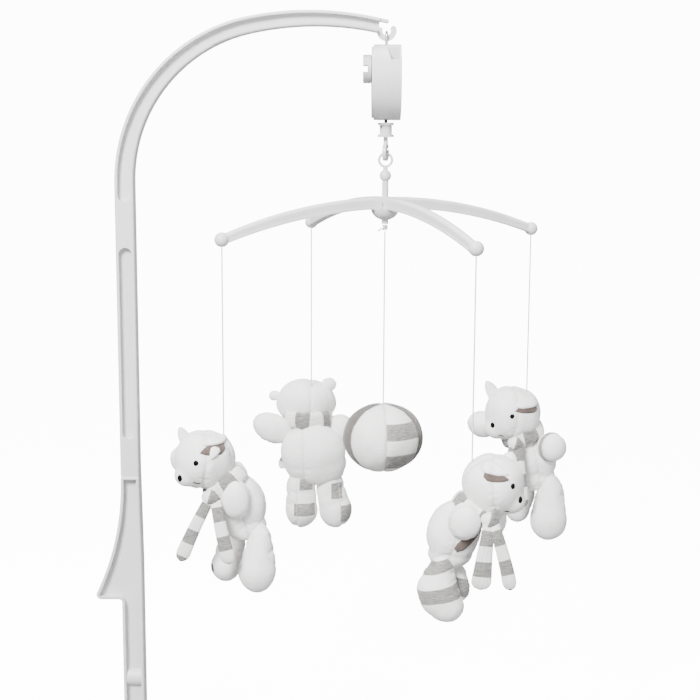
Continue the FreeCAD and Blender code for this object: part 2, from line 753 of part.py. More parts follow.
def output():
    """Spindle, gear, spool coupler and snap hook that turn under the case."""
    spindle = cylinder(
        "spindle_body", "spindle_radius", "spindle_rise + spindle_show + spindle_grip",
        (hub_x, 0, spool_top - s.spindle_grip),
    )
    gear_z = case_low + s.case_wall + s.rim_step + 1.5
    gear = cylinder("output_wheel", "output_gear_radius", "output_gear_thick", (hub_x, 0, gear_z))
    node(fuse("output_spindle", [spindle, gear]), "output_spindle")
    low_flange = cylinder("spool_low", "spool_radius", "spool_flange", (hub_x, 0, spool_low))
    top_flange = cylinder("spool_top", "spool_radius", "spool_flange", (hub_x, 0, spool_top - s.spool_flange))
    waist = cylinder("spool_body", "spool_waist", "spool_height", (hub_x, 0, spool_low))
    whole = fuse("spool_whole", [low_flange, waist, top_flange])
    seat = cylinder("spool_seat", "spindle_radius", "spindle_grip + 1", (hub_x, 0, spool_top - s.spindle_grip))
    corner = (hub_x - s.spool_waist, -s.spool_radius, spool_low + s.spool_flange)
    slit = box("spool_slit", ("spool_flange", "spool_radius", "spool_height - 2 * spool_flange"), corner)
    node(cut("spool_coupler", whole, fuse("spool_cuts", [seat, slit])), "spool_coupler")


def snap_hook():
    """Flat hook hung under the spool; its throat lets the carrier's ring in."""
    turn = Rotation(Vector(0, 0, 1), s.clip_turn)
    wide = s.clip_outer * 0.86
    top = s.clip_drop * 0.62
    neck = [
        (-wide, s.clip_outer * 0.5),
        (wide, s.clip_outer * 0.5),
        (s.clip_neck, top),
        (s.clip_neck, s.clip_drop),
        (-s.clip_neck, s.clip_drop),
        (-s.clip_neck, top),
    ]
    place = (hub_x, 0, clip_z)
    shank = pad("clip_shank", outline("clip_outline", polygon(neck), turn * UPRIGHT, place), "clip_thick")
    disc = doc.addObject("Part::Cylinder", "clip_disc")
    bind(disc, "Radius", "clip_outer")
    bind(disc, "Height", "clip_thick")
    normal = turn.multVec(Vector(0, 1, 0))
    back = Vector(*place) - normal * (s.clip_thick / 2)
    disc.Placement = FreeCAD.Placement(back, turn * AXES["y"])
    eye = doc.addObject("Part::Cylinder", "clip_eye")
    bind(eye, "Radius", "clip_inner")
    bind(eye, "Height", "clip_thick + 2")
    eye.Placement = FreeCAD.Placement(Vector(*place) - normal * (s.clip_thick / 2 + 1), turn * AXES["y"])
    throat = polygon([(0, 0), (s.clip_outer + 2, s.clip_gap), (s.clip_outer + 2, s.clip_gap * 2), (0, s.clip_gap)])
    gap = pad("clip_throat", outline("throat_outline", throat, turn * UPRIGHT, place), "clip_thick + 2")
    whole = fuse("clip_whole", [shank, disc])
    node(cut("snap_hook", whole, fuse("clip_cuts", [eye, gap])), "snap_hook")


# ---------------------------------------------------------------- carrier
def carrier_ring():
    """Ring, ball and stem in one turned piece; the stem ends inside the dome cap."""
    ring = doc.addObject("Part::Torus", "ring_loop")
    bind(ring, "Radius1", "ring_radius")
    bind(ring, "Radius2", "ring_wire")
    ring.Placement = FreeCAD.Placement(Vector(hub_x, 0, ring_z), UPRIGHT)
    ball = sphere("ring_ball_body", "ring_ball", (hub_x, 0, ball_z))
    neck = cylinder("ring_neck", "stem_radius * 0.75", "ring_ball_drop - ring_radius", (hub_x, 0, ball_z))
    stem_low = hub_z - s.spoke_height - s.cap_height / 2
    stem = doc.addObject("Part::Cylinder", "ring_shank")
    bind(stem, "Radius", "stem_radius")
    stem.Height = ball_z - stem_low
    stem.Placement.Base = Vector(hub_x, 0, stem_low)
    node(fuse("ring_whole", [ring, ball, neck, stem]), "ring_stem")
    top = cap_low + s.cap_height
    bowl = [
        line((0, top), (s.cap_radius, top)),
        arc((s.cap_radius, top), (s.cap_radius * 0.72, top - s.cap_height * 0.66), (s.cap_neck, cap_low)),
        line((s.cap_neck, cap_low), (s.cap_neck, cap_low - s.cap_neck_length)),
        line((s.cap_neck, cap_low - s.cap_neck_length), (0, cap_low - s.cap_neck_length)),
        line((0, cap_low - s.cap_neck_length), (0, top)),
    ]
    sketch = outline("cap_outline", bowl, base=(hub_x, 0, 0))
    dome = revolve("cap_dome", sketch, (hub_x, 0, 0), (0, 0, 1))
    seat = cylinder("cap_seat", "stem_radius", "cap_height / 2 + 1", (hub_x, 0, stem_low))
    node(cut("hub_cap", dome, seat), "hub_cap")


def spoke_bar(name, turn, notch_up, notch_half):
    """One drooping bar, round above, with a bead along its lower edge and a ball at each end."""
    reach = s.spoke_reach
    high = spoke_z + s.spoke_height / 2
    low = spoke_z - s.spoke_height / 2
    end_high = spoke_end_z + s.spoke_tip_height / 2
    end_low = spoke_end_z - s.spoke_tip_height / 2
    side = [
        arc((-reach, end_high), (0, high), (reach, end_high)),
        line((reach, end_high), (reach, end_low)),
        arc((reach, end_low), (0, low), (-reach, end_low)),
        line((-reach, end_low), (-reach, end_high)),
    ]
    plain = pad(name + "_plain", outline(name + "_outline", side), "spoke_width")

    def top_edge(edge):
        middle = edge.valueAt((edge.FirstParameter + edge.LastParameter) / 2)
        return edge.Length > reach and middle.z > spoke_z

    rounded = soften(name + "_rounded", plain, s.spoke_round, top_edge)
    bead = [
        arc((-reach, end_low + s.lip_height), (0, low + s.lip_height), (reach, end_low + s.lip_height)),
        line((reach, end_low + s.lip_height), (reach, end_low)),
        arc((reach, end_low), (0, low), (-reach, end_low)),
        line((-reach, end_low), (-reach, end_low + s.lip_height)),
    ]
    lip = pad(name + "_lip", outline(name + "_lip_outline", bead), "lip_width")
    balls = []
    for side, turned in ((-1, 180), (1, 0)):
        ball = sphere(name + "_ball_%d" % (side + 2), "spoke_ball", (side * reach, 0, spoke_end_z))
        ball.Placement.Rotation = Rotation(Vector(0, 0, 1), turned)
        balls.append(ball)
    whole = fuse(name + "_whole", [rounded, lip] + balls)
    notch = doc.addObject("Part::Box", name + "_notch")
    notch.Length = 2 * notch_half
    bind(notch, "Width", "lip_width + 2")
    bind(notch, "Height", "spoke_height")
    bottom = spoke_z if notch_up else spoke_z - s.spoke_height
    notch.Placement.Base = Vector(-notch_half, -s.lip_width / 2 - 1, bottom)
    hole = cylinder(name + "_hole", "stem_radius + running_gap / 2", "spoke_height + 4", (0, 0, low - 2))
    bar = cut(name, whole, fuse(name + "_cuts", [notch, hole]))
    bar.Placement = FreeCAD.Placement(Vector(hub_x, 0, 0), Rotation(Vector(0, 0, 1), turn))
    node(bar, name)


# ---------------------------------------------------------------- soft pieces
# A faceted ellipsoid lies inside the true one, so its radii grow a little.
FACET_GROWTH = 1.05


def blob(centre, radii, tilt=0, turn=0, around=10, rows=5):
    """Closed faceted ellipsoid, tilted about Y and then turned about Z."""
    radii = [radius * FACET_GROWTH for radius in radii]
    rings = []
    for row in range(1, rows):
        polar_angle = math.pi * row / rows
        ring = []
        for step in range(around):
            angle = 2 * math.pi * (step + 0.5 * (row % 2)) / around
            ring.append(
                Vector(
                    radii[0] * math.sin(polar_angle) * math.cos(angle),
                    radii[1] * math.sin(polar_angle) * math.sin(angle),
                    radii[2] * math.cos(polar_angle),
                )
            )
        rings.append(ring)
    top = Vector(0, 0, radii[2])
    bottom = Vector(0, 0, -radii[2])
    faces = []
    for step in range(around):
        after = (step + 1) % around
        faces.append((top, rings[0][step], rings[0][after]))
        faces.append((bottom, rings[-1][after], rings[-1][step]))
    for row in range(len(rings) - 1):
        upper = rings[row]
        lower = rings[row + 1]
        shift = 0 if (row + 1) % 2 else 1
        for step in range(around):
            after = (step + 1) % around
            if shift == 0:
                faces.append((upper[step], lower[step], lower[after]))
                faces.append((upper[step], lower[after], upper[after]))
            else:
                faces.append((upper[step], lower[step], upper[after]))
                faces.append((lower[step], lower[after], upper[after]))
    shell = Part.Shell([Part.Face(Part.makePolygon(list(f) + [f[0]])) for f in faces])
    solid = Part.Solid(shell)
    if solid.Volume < 0:
        solid.reverse()
    solid.rotate(Vector(), Vector(0, 1, 0), tilt)
    solid.rotate(Vector(), Vector(0, 0, 1), turn)
    solid.translate(Vector(*centre))
    return solid



def ring_band(centre, outer, inner, half_height, tilt, turn):
    """Closed faceted band that wraps a neck."""
    band = blob((0, 0, 0), (outer, outer * 0.92, half_height), 0, 0, 12, 4)
    core = []
    for step in range(12):
        core.append(Vector(*polar((0, 0), inner, 30 * step), -2 * half_height))
    core.append(core[0])
    prism = Part.Face(Part.makePolygon(core)).extrude(Vector(0, 0, 4 * half_height))
    band = band.cut(prism)
    band.rotate(Vector(), Vector(0, 1, 0), tilt)
    band.rotate(Vector(), Vector(0, 0, 1), turn)
    band.translate(Vector(*centre))
    return band


def strip(start, end, width, thick, facing):
    """Flat tail from start to end; facing is the direction of its broad side."""
    a = Vector(*start)
    along = Vector(*end) - a
    length = along.Length
    along.normalize()
    across = Vector(*facing).cross(along)
    across.normalize()
    normal = along.cross(across)
    corners = []
    for side, depth in ((-1, -1), (1, -1), (1, 1), (-1, 1)):
        corners.append(a + across * (side * width / 2) + normal * (depth * thick / 2))
    corners.append(corners[0])
    return Part.Face(Part.makePolygon(corners)).extrude(along * length)


def hang(shapes, place, attach_low):
    """Moves a toy so that its weight hangs under the cord, and its skin just meets the cord."""
    volume = sum(shape.Volume for shape in shapes)
    weight = Vector()
    for shape in shapes:
        weight += shape.CenterOfMass * (shape.Volume / volume)
    for shape in shapes:
        shape.translate(Vector(-weight.x, -weight.y, 0))
    reach = shapes[0].BoundBox.ZLength
    footprint = Part.makeCylinder(s.cord_radius, 2 * reach, Vector(0, 0, -reach))
    top = shapes[0].common(footprint).BoundBox.ZMax
    for shape in shapes:
        shape.translate(Vector(place[0], place[1], attach_low - top))


# Each animal: spoke turn, cord, then its stuffed parts as (centre, radii, tilt, turn),
# then its scarf as a neck band and two tails, in toy units from the cord's end.
PLUSH = {
    "left_cat": {
        "spoke": 180,
        "cord": "cord_left",
        "parts": [
            ((-16, -1, -22), (26.5, 29, 27), 0, 0),
            ((-5, -1, -22), (17.5, 24, 23), 0, 0),
            ((-29, -12, -34), (13, 12, 10.5), 0, 0),
            ((-5, -19, -6), (11, 5, 7), 20, 20),
            ((-38, 6, -5), (6, 5, 10), -20, 0),
            ((18, 3, -66), (24, 19, 30), -18, 0),
            ((4, 0, -45), (14, 13, 17), -38, 0),
            ((22, 2, -86), (21, 15, 14), 0, 0),
            ((15, -17, -56), (14, 11, 18), 0, 0),
            ((-34, 12, -26), (16, 14, 13), 30, 0),
            ((37, -7, -104), (12, 11, 22), 0, 0),
            ((34, -11, -127), (18, 14, 20), 0, 0),
            ((9, 11, -106), (12, 12, 19), 0, 0),
            ((3, 9, -128), (14, 15, 15), 0, 0),
        ],
        "band": ((4, -1, -45), 24, 13, 9, -38, 0),
        "tails": [
            ((-8, -26, -52), (-36, -30, -112), 13, 5, (0.4, 1, 0)),
            ((-2, -25, -56), (10, -32, -114), 13, 5, (-0.2, 1, 0)),
        ],
        "knot": ((-8, -24, -53), (9, 7, 8)),
    },
    "back_bear": {
        "spoke": 90,
        "cord": "cord_back",
        "parts": [
            ((-4, 19, -15), (32, 26, 24.5), 0, 0),
            ((21, 18, 5), (9, 6, 8.5), 0, 0),
            ((-39, 18, -8), (7, 6, 6), 0, 0),
            ((5, -4, -65.5), (35, 26, 31), 0, 0),
            ((0, 8, -36), (20, 18, 17), 0, 0),
            ((8, -4, -87), (30, 20, 14), 0, 0),
            ((-40, 2, -41), (23, 13, 16), 20, 0),
            ((34, 12, -45), (17, 13, 17), -20, 0),
            ((-9, -7, -106), (15, 14, 22), 0, 0),
            ((-8, -8, -129.5), (17, 17, 20), 0, 0),
            ((23, -6, -106), (15, 14, 22), 0, 0),
            ((29, -7, -129.5), (17.5, 17, 20), 0, 0),
        ],
        "band": ((-2, 9, -33), 28, 16, 10, 0, 0),
        "tails": [
            ((6, 30, -37), (-27, 29, -92), 13, 5, (0, 1, 0)),
            ((8, 30, -37), (17, 29, -94), 13, 5, (0, 1, 0)),
        ],
        "knot": ((6, 33, -37), (10, 8, 9)),
    },
    "front_cat": {
        "spoke": -90,
        "cord": "cord_front",
        "parts": [
            ((17, -1, -21), (26, 28, 27), 0, 0),
            ((6, -1, -20), (16, 23, 22), 0, 0),
            ((31, -9, -33), (12.5, 12, 10.5), 0, 0),
            ((15, -23, -7), (11, 5, 6), 0, 0),
            ((31, 12, -2), (8, 5, 8), 0, 0),
            ((-17, 2, -65), (24, 20, 29), 18, 0),
            ((2, 0, -45), (14, 13, 17), 32, 0),
            ((-20, 2, -84), (20, 15, 14), 0, 0),
            ((-9, -18, -50), (14, 12, 16), 0, 0),
            ((19, 16, -56), (12, 11, 16), -15, 0),
            ((-32, -6, -101), (15, 13, 18), 0, 0),
            ((-30, -9, -123), (20, 14, 21), 0, 0),
            ((-20, 11, -101), (12, 12, 17), 0, 0),
            ((-15, 9, -117), (13, 13, 16), -35, 0),
        ],
        "band": ((2, 0, -45), 24, 13, 9, 32, 0),
        "tails": [
            ((10, -26, -50), (4, -30, -108), 14, 5, (0.1, 1, 0)),
            ((17, -25, -50), (31, -28, -109), 14, 5, (-0.3, 1, 0)),
        ],
        "knot": ((12, -24, -47), (9, 7, 8)),
    },
    "right_cat": {
        "spoke": 0,
        "cord": "cord_right",
        "parts": [
            ((-17, 0, -24), (26.5, 27, 28), 0, 0),
            ((-5, 0, -24), (17.5, 23, 24), 0, 0),
            ((-32, -7, -37), (12.5, 12, 11), 0, 0),
            ((-2, -21, -14), (12, 5, 6), 0, 0),
            ((-40, 8, -2), (7, 5, 9), -25, 0),
            ((9, 4, -73), (23.5, 21, 29), -8, 0),
            ((-4, 1, -47), (14, 13, 17), -22, 0),
            ((11, 3, -92), (21, 18, 14), 0, 0),
            ((24, -16, -56), (15, 15, 15), 0, 0),
            ((-44, 10, -38), (17, 13, 13.5), 10, 0),
            ((26, -6, -112), (15, 14, 24), 0, 0),
            ((24, -9, -134), (19, 17, 22), 0, 0),
            ((0, 11, -112), (12, 12, 20), 0, 0),
            ((-6, 10, -129), (13, 13, 14), 0, 0),
        ],
        "band": ((-4, 1, -46), 24, 13, 9, -22, 0),
        "tails": [
            ((-11, -27, -53), (-6, -29, -117), 13, 5, (0, 1, 0)),
            ((-16, -25, -53), (-25, -28, -104), 13, 5, (0.2, 1, 0)),
        ],
        "knot": ((-14, -24, -51), (9, 7, 8)),
    },
}


def in_units(values):
    """Turns toy units into millimetres."""
    return [value * s.toy_unit for value in values]


def thread(name, length, place, top):
    """Taut cord that carries a soft piece."""
    cord = doc.addObject("Part::Cylinder", name)
    bind(cord, "Radius", "cord_radius")
    bind(cord, "Height", length)
    cord.Placement.Base = Vector(place[0], place[1], top - getattr(s, length))
    return node(cord, name)


def plush(name, data):
    place = polar((hub_x, 0), s.spoke_reach, s.spoke_turn + data["spoke"])
    parts = []
    for centre, radii, tilt, turn in data["parts"]:
        parts.append(blob(in_units(centre), in_units(radii), tilt, turn))
    centre, outer, inner, half_height, tilt, turn = data["band"]
    band_sizes = in_units((outer, inner, half_height))
    scarf = [ring_band(in_units(centre), *band_sizes, tilt, turn)]
    centre, radii = data["knot"]
    scarf.append(blob(in_units(centre), in_units(radii), 0, 0, 8, 4))
    for start, end, width, thick, facing in data["tails"]:
        scarf.append(strip(in_units(start), in_units(end), *in_units((width, thick)), facing))
    scarf = scarf[0].multiFuse(scarf[1:])
    body = parts[0].multiFuse(parts[1:]).cut(scarf)
    if len(body.Solids) != 1 or len(scarf.Solids) != 1:
        raise RuntimeError(name + " isn't one body with one scarf")
    shapes = [body.Solids[0], scarf.Solids[0]]
    hang(shapes, place, cord_top - getattr(s, data["cord"]) - s.running_gap)
    thread(data["cord"].replace("cord", "string"), data["cord"], place, cord_top)
    solid_node(shapes[0], "plush_" + name)
    solid_node(shapes[1], "scarf_" + name)


def middle_ball():
    """Knot under the dome cap, its cord and the patchwork ball."""
    knot = blob((hub_x, 0, knot_z), (s.knot_radius, s.knot_radius, s.knot_radius), 0, 0, 8, 4)
    solid_node(knot, "cord_knot")
    top = knot_z - s.knot_radius - s.running_gap
    thread("string_middle", "cord_middle", (hub_x, 0), top)
    low = top - s.cord_middle - s.running_gap - s.ball_height / 2 * FACET_GROWTH
    radii = (s.ball_radius, s.ball_radius, s.ball_height / 2)
    solid_node(blob((hub_x, 0, low), radii, 0, 0, 14, 8), "patchwork_ball")


bracket()
middle_post()
arch_arm()
clamp_hardware()
music_case()
bail()
winder()
movement()
output()
snap_hook()
carrier_ring()
spoke_bar("spoke_bar_upper", s.spoke_turn, False, (s.lip_width / 2 + s.running_gap / 2))
spoke_bar("spoke_bar_lower", s.spoke_turn + 90, True, (s.spoke_width / 2 + s.running_gap / 2))
for plush_name, plush_data in PLUSH.items():
    plush(plush_name, plush_data)
middle_ball()
doc.recompute()

broken = [thing.Name for thing in doc.Objects if {"Invalid", "Error"} & set(thing.State)]
for thing in NODES:
    if thing.Shape.isNull() or not thing.Shape.isValid() or not thing.Shape.Solids:
        broken.append(thing.Label)
if broken:
    raise RuntimeError("these pieces failed: " + ", ".join(broken))

os.makedirs("parts", exist_ok=True)
for thing in NODES:
    thing.Shape.exportStep("parts/%s.step" % thing.Label)
    print("%-20s solids %d  volume %.0f" % (thing.Label, len(thing.Shape.Solids), thing.Shape.Volume))
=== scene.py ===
"""Dresses a crib mobile: clamp-on arm, music box, crossed carrier and soft hanging toys.

Every piece is built in metres in the frame of the moulded parts.  Sizes in the classes
below are in millimetres, as a maker would write them, and ``MM`` turns them into metres.
"""

import json
import logging
import math
from dataclasses import dataclass, field
from enum import Enum

import bmesh
import bpy
import numpy as np
from mathutils import Matrix, Vector, noise
from mathutils.bvhtree import BVHTree

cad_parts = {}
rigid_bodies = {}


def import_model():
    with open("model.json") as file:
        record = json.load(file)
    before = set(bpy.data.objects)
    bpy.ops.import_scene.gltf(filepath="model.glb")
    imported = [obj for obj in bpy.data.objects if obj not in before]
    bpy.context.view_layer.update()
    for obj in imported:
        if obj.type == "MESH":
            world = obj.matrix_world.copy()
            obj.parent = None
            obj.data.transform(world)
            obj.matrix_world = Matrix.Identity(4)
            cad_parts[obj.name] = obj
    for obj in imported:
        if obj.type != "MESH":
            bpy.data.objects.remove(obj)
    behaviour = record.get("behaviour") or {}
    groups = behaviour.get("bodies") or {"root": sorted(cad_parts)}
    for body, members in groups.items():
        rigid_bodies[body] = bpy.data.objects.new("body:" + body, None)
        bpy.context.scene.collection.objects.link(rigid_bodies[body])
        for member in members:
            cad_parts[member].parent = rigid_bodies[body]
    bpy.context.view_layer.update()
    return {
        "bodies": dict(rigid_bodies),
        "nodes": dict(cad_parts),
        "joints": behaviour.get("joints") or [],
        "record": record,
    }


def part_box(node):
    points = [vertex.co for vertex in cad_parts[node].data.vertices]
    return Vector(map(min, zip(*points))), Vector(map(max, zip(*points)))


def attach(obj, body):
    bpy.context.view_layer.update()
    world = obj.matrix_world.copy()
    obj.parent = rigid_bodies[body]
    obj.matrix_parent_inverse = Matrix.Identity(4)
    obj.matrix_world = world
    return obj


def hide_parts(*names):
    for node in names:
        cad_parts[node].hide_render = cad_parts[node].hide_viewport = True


LOG = logging.getLogger("crib_mobile")
MM = 0.001
Triple = tuple[float, float, float]


# ----------------------------------------------------------------- shader expressions
class Signal:
    """A number that flows through a material's nodes and takes part in arithmetic."""

    def __init__(self, recipe: "Recipe", socket: bpy.types.NodeSocket) -> None:
        """Wraps one output socket.

        Args:
            recipe: The material recipe that owns the node.
            socket: The output socket that carries the number.
        """
        self.recipe = recipe
        self.socket = socket

    def _math(self, operation: str, *others: "Signal | float", clamp: bool = False) -> "Signal":
        """Adds one Math node.

        Args:
            operation: The Math node's operation.
            others: What follows this signal in the node's inputs.
            clamp: Whether the result is kept from 0 to 1.

        Returns:
            The node's result.
        """
        settings = {"operation": operation, "use_clamp": clamp}
        values = {index: value for index, value in enumerate((self, *others))}
        return self.recipe.node("ShaderNodeMath", settings, values)

    def __add__(self, other: "Signal | float") -> "Signal":
        """Sum."""
        return self._math("ADD", other)

    __radd__ = __add__

    def __mul__(self, other: "Signal | float") -> "Signal":
        """Product."""
        return self._math("MULTIPLY", other)

    __rmul__ = __mul__

    def __sub__(self, other: "Signal | float") -> "Signal":
        """Difference."""
        return self._math("SUBTRACT", other)

    def __rsub__(self, other: float) -> "Signal":
        """Difference with a plain number first."""
        return self.recipe.node("ShaderNodeMath", {"operation": "SUBTRACT"}, {0: other, 1: self})

    def __truediv__(self, other: "Signal | float") -> "Signal":
        """Quotient."""
        return self._math("DIVIDE", other)

    def __pow__(self, other: float) -> "Signal":
        """Power."""
        return self._math("POWER", other)

    def sine(self) -> "Signal":
        """Sine of the signal in radians."""
        return self._math("SINE")

    def clamped(self) -> "Signal":
        """The signal kept from 0 to 1."""
        return self._math("ADD", 0.0, clamp=True)

    def edge(self, softness: float) -> "Signal":
        """A mask that is 1 where the signal is above zero.

        Args:
            softness: Width of the change, in the signal's own unit.

        Returns:
            The mask, from 0 to 1.
        """
        return (self / softness + 0.5).clamped()


class Recipe:
    """Node tree of one finish, written as expressions."""

    def __init__(self, name: str) -> None:
        """Starts an empty material.

        Args:
            name: The material's name.
        """
        self.material = bpy.data.materials.new(name)
        self.material.use_nodes = True
        self.tree = self.material.node_tree
        self.tree.nodes.clear()

    def node(self, kind: str, settings: dict, inputs: dict, output: int | str = 0) -> Signal:
        """Adds any node.

        Args:
            kind: The node's type.
            settings: Its properties, set first; ``stops`` sets a ramp's stops.
            inputs: Values or signals by input name or index.
            output: The output that is returned.

        Returns:
            The chosen output as a signal.
        """
        made = self.tree.nodes.new(kind)
        for key, value in settings.items():
            if key == "stops":
                ramp = made.color_ramp.elements
                while len(ramp) < len(value):
                    ramp.new(0.5)
                for element, (place, shade) in zip(ramp, value):
                    element.position = place
                    element.color = (*shade, 1.0)
            else:
                setattr(made, key, value)
        for key, value in inputs.items():
            if isinstance(value, Signal):
                self.tree.links.new(value.socket, made.inputs[key])
            else:
                made.inputs[key].default_value = value
        return Signal(self, made.outputs[output])

    def place(self) -> Signal:
        """The point on the piece in its own coordinates, in metres."""
        return self.node("ShaderNodeTexCoord", {}, {}, "Object")

    def attribute(self, name: str, output: str = "Fac") -> Signal:
        """A mesh attribute.

        Args:
            name: The attribute's name.
            output: ``Fac`` for a number or ``Vector`` for a point.

        Returns:
            The attribute as a signal.
        """
        return self.node("ShaderNodeAttribute", {"attribute_name": name}, {}, output)

    def stretched(self, where: Signal, scale: Triple) -> Signal:
        """Coordinates scaled by axis, for streaks and weaves."""
        return self.node("ShaderNodeVectorMath", {"operation": "MULTIPLY"}, {0: where, 1: scale})

    def grain(self, where: Signal, per_metre: float, detail: float = 3.0) -> Signal:
        """Soft noise from 0 to 1.

        Args:
            where: The coordinates.
            per_metre: Number of lumps along a metre.
            detail: Number of finer layers.

        Returns:
            The noise.
        """
        inputs = {"Vector": where, "Scale": per_metre, "Detail": detail, "Roughness": 0.6}
        return self.node("ShaderNodeTexNoise", {"noise_dimensions": "3D"}, inputs, "Fac")

    def blend(self, share: Signal, low: "Signal | Triple", high: "Signal | Triple") -> Signal:
        """Colour between two colours.

        Args:
            share: 0 gives the first colour, 1 the second.
            low: The first colour.
            high: The second colour.

        Returns:
            The mixed colour.
        """
        low, high = (c if isinstance(c, Signal) else (*c, 1.0) for c in (low, high))
        inputs = {0: share, 6: low, 7: high}
        return self.node("ShaderNodeMix", {"data_type": "RGBA", "clamp_factor": True}, inputs, 2)

    def relief(self, height: Signal, depth: float, strength: float = 1.0) -> Signal:
        """Bump whose height signal spans ``depth`` metres."""
        inputs = {"Height": height, "Distance": depth, "Strength": strength}
        return self.node("ShaderNodeBump", {}, inputs, "Normal")

    def finish(self, varying: dict, fixed: dict) -> bpy.types.Material:
        """Closes the material with its shader.

        Args:
            varying: Shader inputs that change over the surface.
            fixed: Shader inputs that are the same all over.

        Returns:
            The finished material.
        """
        shader = self.node("ShaderNodeBsdfPrincipled", {}, {**fixed, **varying}, "BSDF")
        self.node_output(shader)
        colour = varying.get("Base Color")
        if not isinstance(colour, Signal) and colour is not None:
            self.material.diffuse_color = colour
        return self.material

    def node_output(self, shader: Signal) -> None:
        """Links the shader to the material's output."""
        target = self.tree.nodes.new("ShaderNodeOutputMaterial")
        self.tree.links.new(shader.socket, target.inputs["Surface"])


# --------------------------------------------------------------------------- finishes
@dataclass(frozen=True)
class Moulding:
    """Satin injection-moulded plastic with spark-eroded grain and handling marks."""

    name: str
    colour: Triple
    shade: Triple
    roughness: float = 0.42
    grain_per_metre: float = 2600.0
    scuff: float = 0.10

    def material(self) -> bpy.types.Material:
        """Builds the finish."""
        recipe = Recipe(self.name)
        where = recipe.place()
        flow = recipe.grain(recipe.stretched(where, (1.0, 1.0, 0.35)), 38.0, 2.0)
        grain = recipe.grain(where, self.grain_per_metre, 2.0)
        streaks = recipe.grain(recipe.stretched(where, (1.0, 1.0, 0.05)), 900.0, 3.0)
        marks = ((streaks - 0.62) * 6.0).clamped()
        tone = (flow - 0.5) * 1.1 + 0.5 - marks * self.scuff
        colour = recipe.blend(tone.clamped(), self.shade, self.colour)
        rough = grain * 0.12 + marks * 0.08 + (self.roughness - 0.06)
        normal = recipe.relief(grain + flow * 1.5, 0.00004, 0.5)
        varying = {"Base Color": colour, "Roughness": rough, "Normal": normal}
        return recipe.finish(varying, {"IOR": 1.49, "Coat Weight": 0.04, "Coat Roughness": 0.3})


@dataclass(frozen=True)
class Metal:
    """Plated or plain metal with fine turning marks."""

    name: str
    colour: Triple
    tarnish: Triple
    roughness: float = 0.3

    def material(self) -> bpy.types.Material:
        """Builds the finish."""
        recipe = Recipe(self.name)
        where = recipe.place()
        turning = recipe.grain(recipe.stretched(where, (6.0, 1.0, 1.0)), 900.0, 3.0)
        cloud = recipe.grain(where, 220.0, 2.0)
        colour = recipe.blend(((cloud - 0.45) * 3.0).clamped(), self.colour, self.tarnish)
        normal = recipe.relief(turning, 0.00003, 0.4)
        rough = turning * 0.18 + cloud * 0.1 + (self.roughness - 0.12)
        varying = {"Base Color": colour, "Roughness": rough, "Normal": normal}
        return recipe.finish(varying, {"Metallic": 1.0})


@dataclass(frozen=True)
class Rubber:
    """Soft dark grip rubber with a fine matt skin."""

    name: str = "grip_rubber"
    colour: Triple = (0.035, 0.035, 0.037)

    def material(self) -> bpy.types.Material:
        """Builds the finish."""
        recipe = Recipe(self.name)
        where = recipe.place()
        skin = recipe.grain(where, 1800.0)
        dust = recipe.grain(where, 90.0, 4.0)
        paler = tuple(0.05 + 1.6 * c for c in self.colour)
        colour = recipe.blend(((dust - 0.4) * 1.6).clamped(), self.colour, paler)
        varying = {
            "Base Color": colour,
            "Roughness": skin * 0.2 + 0.65,
            "Normal": recipe.relief(skin, 0.0001, 0.6),
        }
        return recipe.finish(varying, {"IOR": 1.5})


@dataclass(frozen=True)
class Velour:
    """Short-pile plush; grey and brown pieces of cloth lie where the mesh marks them, and the seam grooves
    carry painted shade.
    """

    name: str
    white: Triple = (0.90, 0.895, 0.885)
    # dark end of the random pile mottle; half of it is the colour of the painted shade in the seams
    mottle_and_seam_shade: Triple = (0.78, 0.765, 0.75)
    grey: Triple = (0.27, 0.264, 0.253)
    brown: Triple = (0.115, 0.085, 0.074)
    rib_per_metre: float = 0.0

    def material(self) -> bpy.types.Material:
        """Builds the finish."""
        recipe = Recipe(self.name)
        where = recipe.place()
        pile = recipe.grain(where, 1500.0, 4.0)
        brushed = recipe.grain(recipe.stretched(where, (1.0, 1.0, 0.45)), 130.0, 3.0)
        ragged = (recipe.grain(where, 420.0, 2.0) - 0.5) * 1.1
        grey = (recipe.attribute("grey_edge") + ragged * 0.5).edge(0.5)
        brown = (recipe.attribute("brown_edge") + ragged * 0.4).edge(0.4)
        # mask of the painted shade in the seam grooves
        seam = recipe.attribute("seam_depth").clamped()
        shade = (pile * 0.4 + brushed * 0.6 - 0.5) * 2.2
        white = recipe.blend((shade + 0.55).clamped(), self.mottle_and_seam_shade, self.white)
        melange = recipe.grain(recipe.stretched(where, (1.0, 1.0, 5.0)), 190.0, 4.0)
        flecks = ((melange - 0.5) * 2.6 + pile * 0.4 + 0.32).clamped()
        dark_fleck, pale_fleck = (tuple(share * c for c in self.grey) for share in (0.5, 1.15))
        knit = recipe.blend(flecks, dark_fleck, pale_fleck)
        dark_brown = tuple(0.5 * c for c in self.brown)
        lining = recipe.blend((shade + 0.6).clamped(), dark_brown, self.brown)
        colour = recipe.blend(grey, white, knit)
        colour = recipe.blend(brown, colour, lining)
        # painted shade: the seam grooves darken towards half the dim mottle tone
        colour = recipe.blend(seam * 0.3, colour, tuple(0.5 * c for c in self.mottle_and_seam_shade))
        height = pile + brushed * 0.8
        if self.rib_per_metre:
            along = recipe.attribute("cloth_across")
            height = height + (along * (2 * math.pi * self.rib_per_metre)).sine() * 0.35
        normal = recipe.relief(height, 0.00045, 0.7)
        varying = {"Base Color": colour, "Roughness": pile * 0.15 + 0.78, "Normal": normal}
        fixed = {"Sheen Weight": 0.35, "Sheen Roughness": 0.5, "Specular IOR Level": 0.2}
        return recipe.finish(varying, fixed)


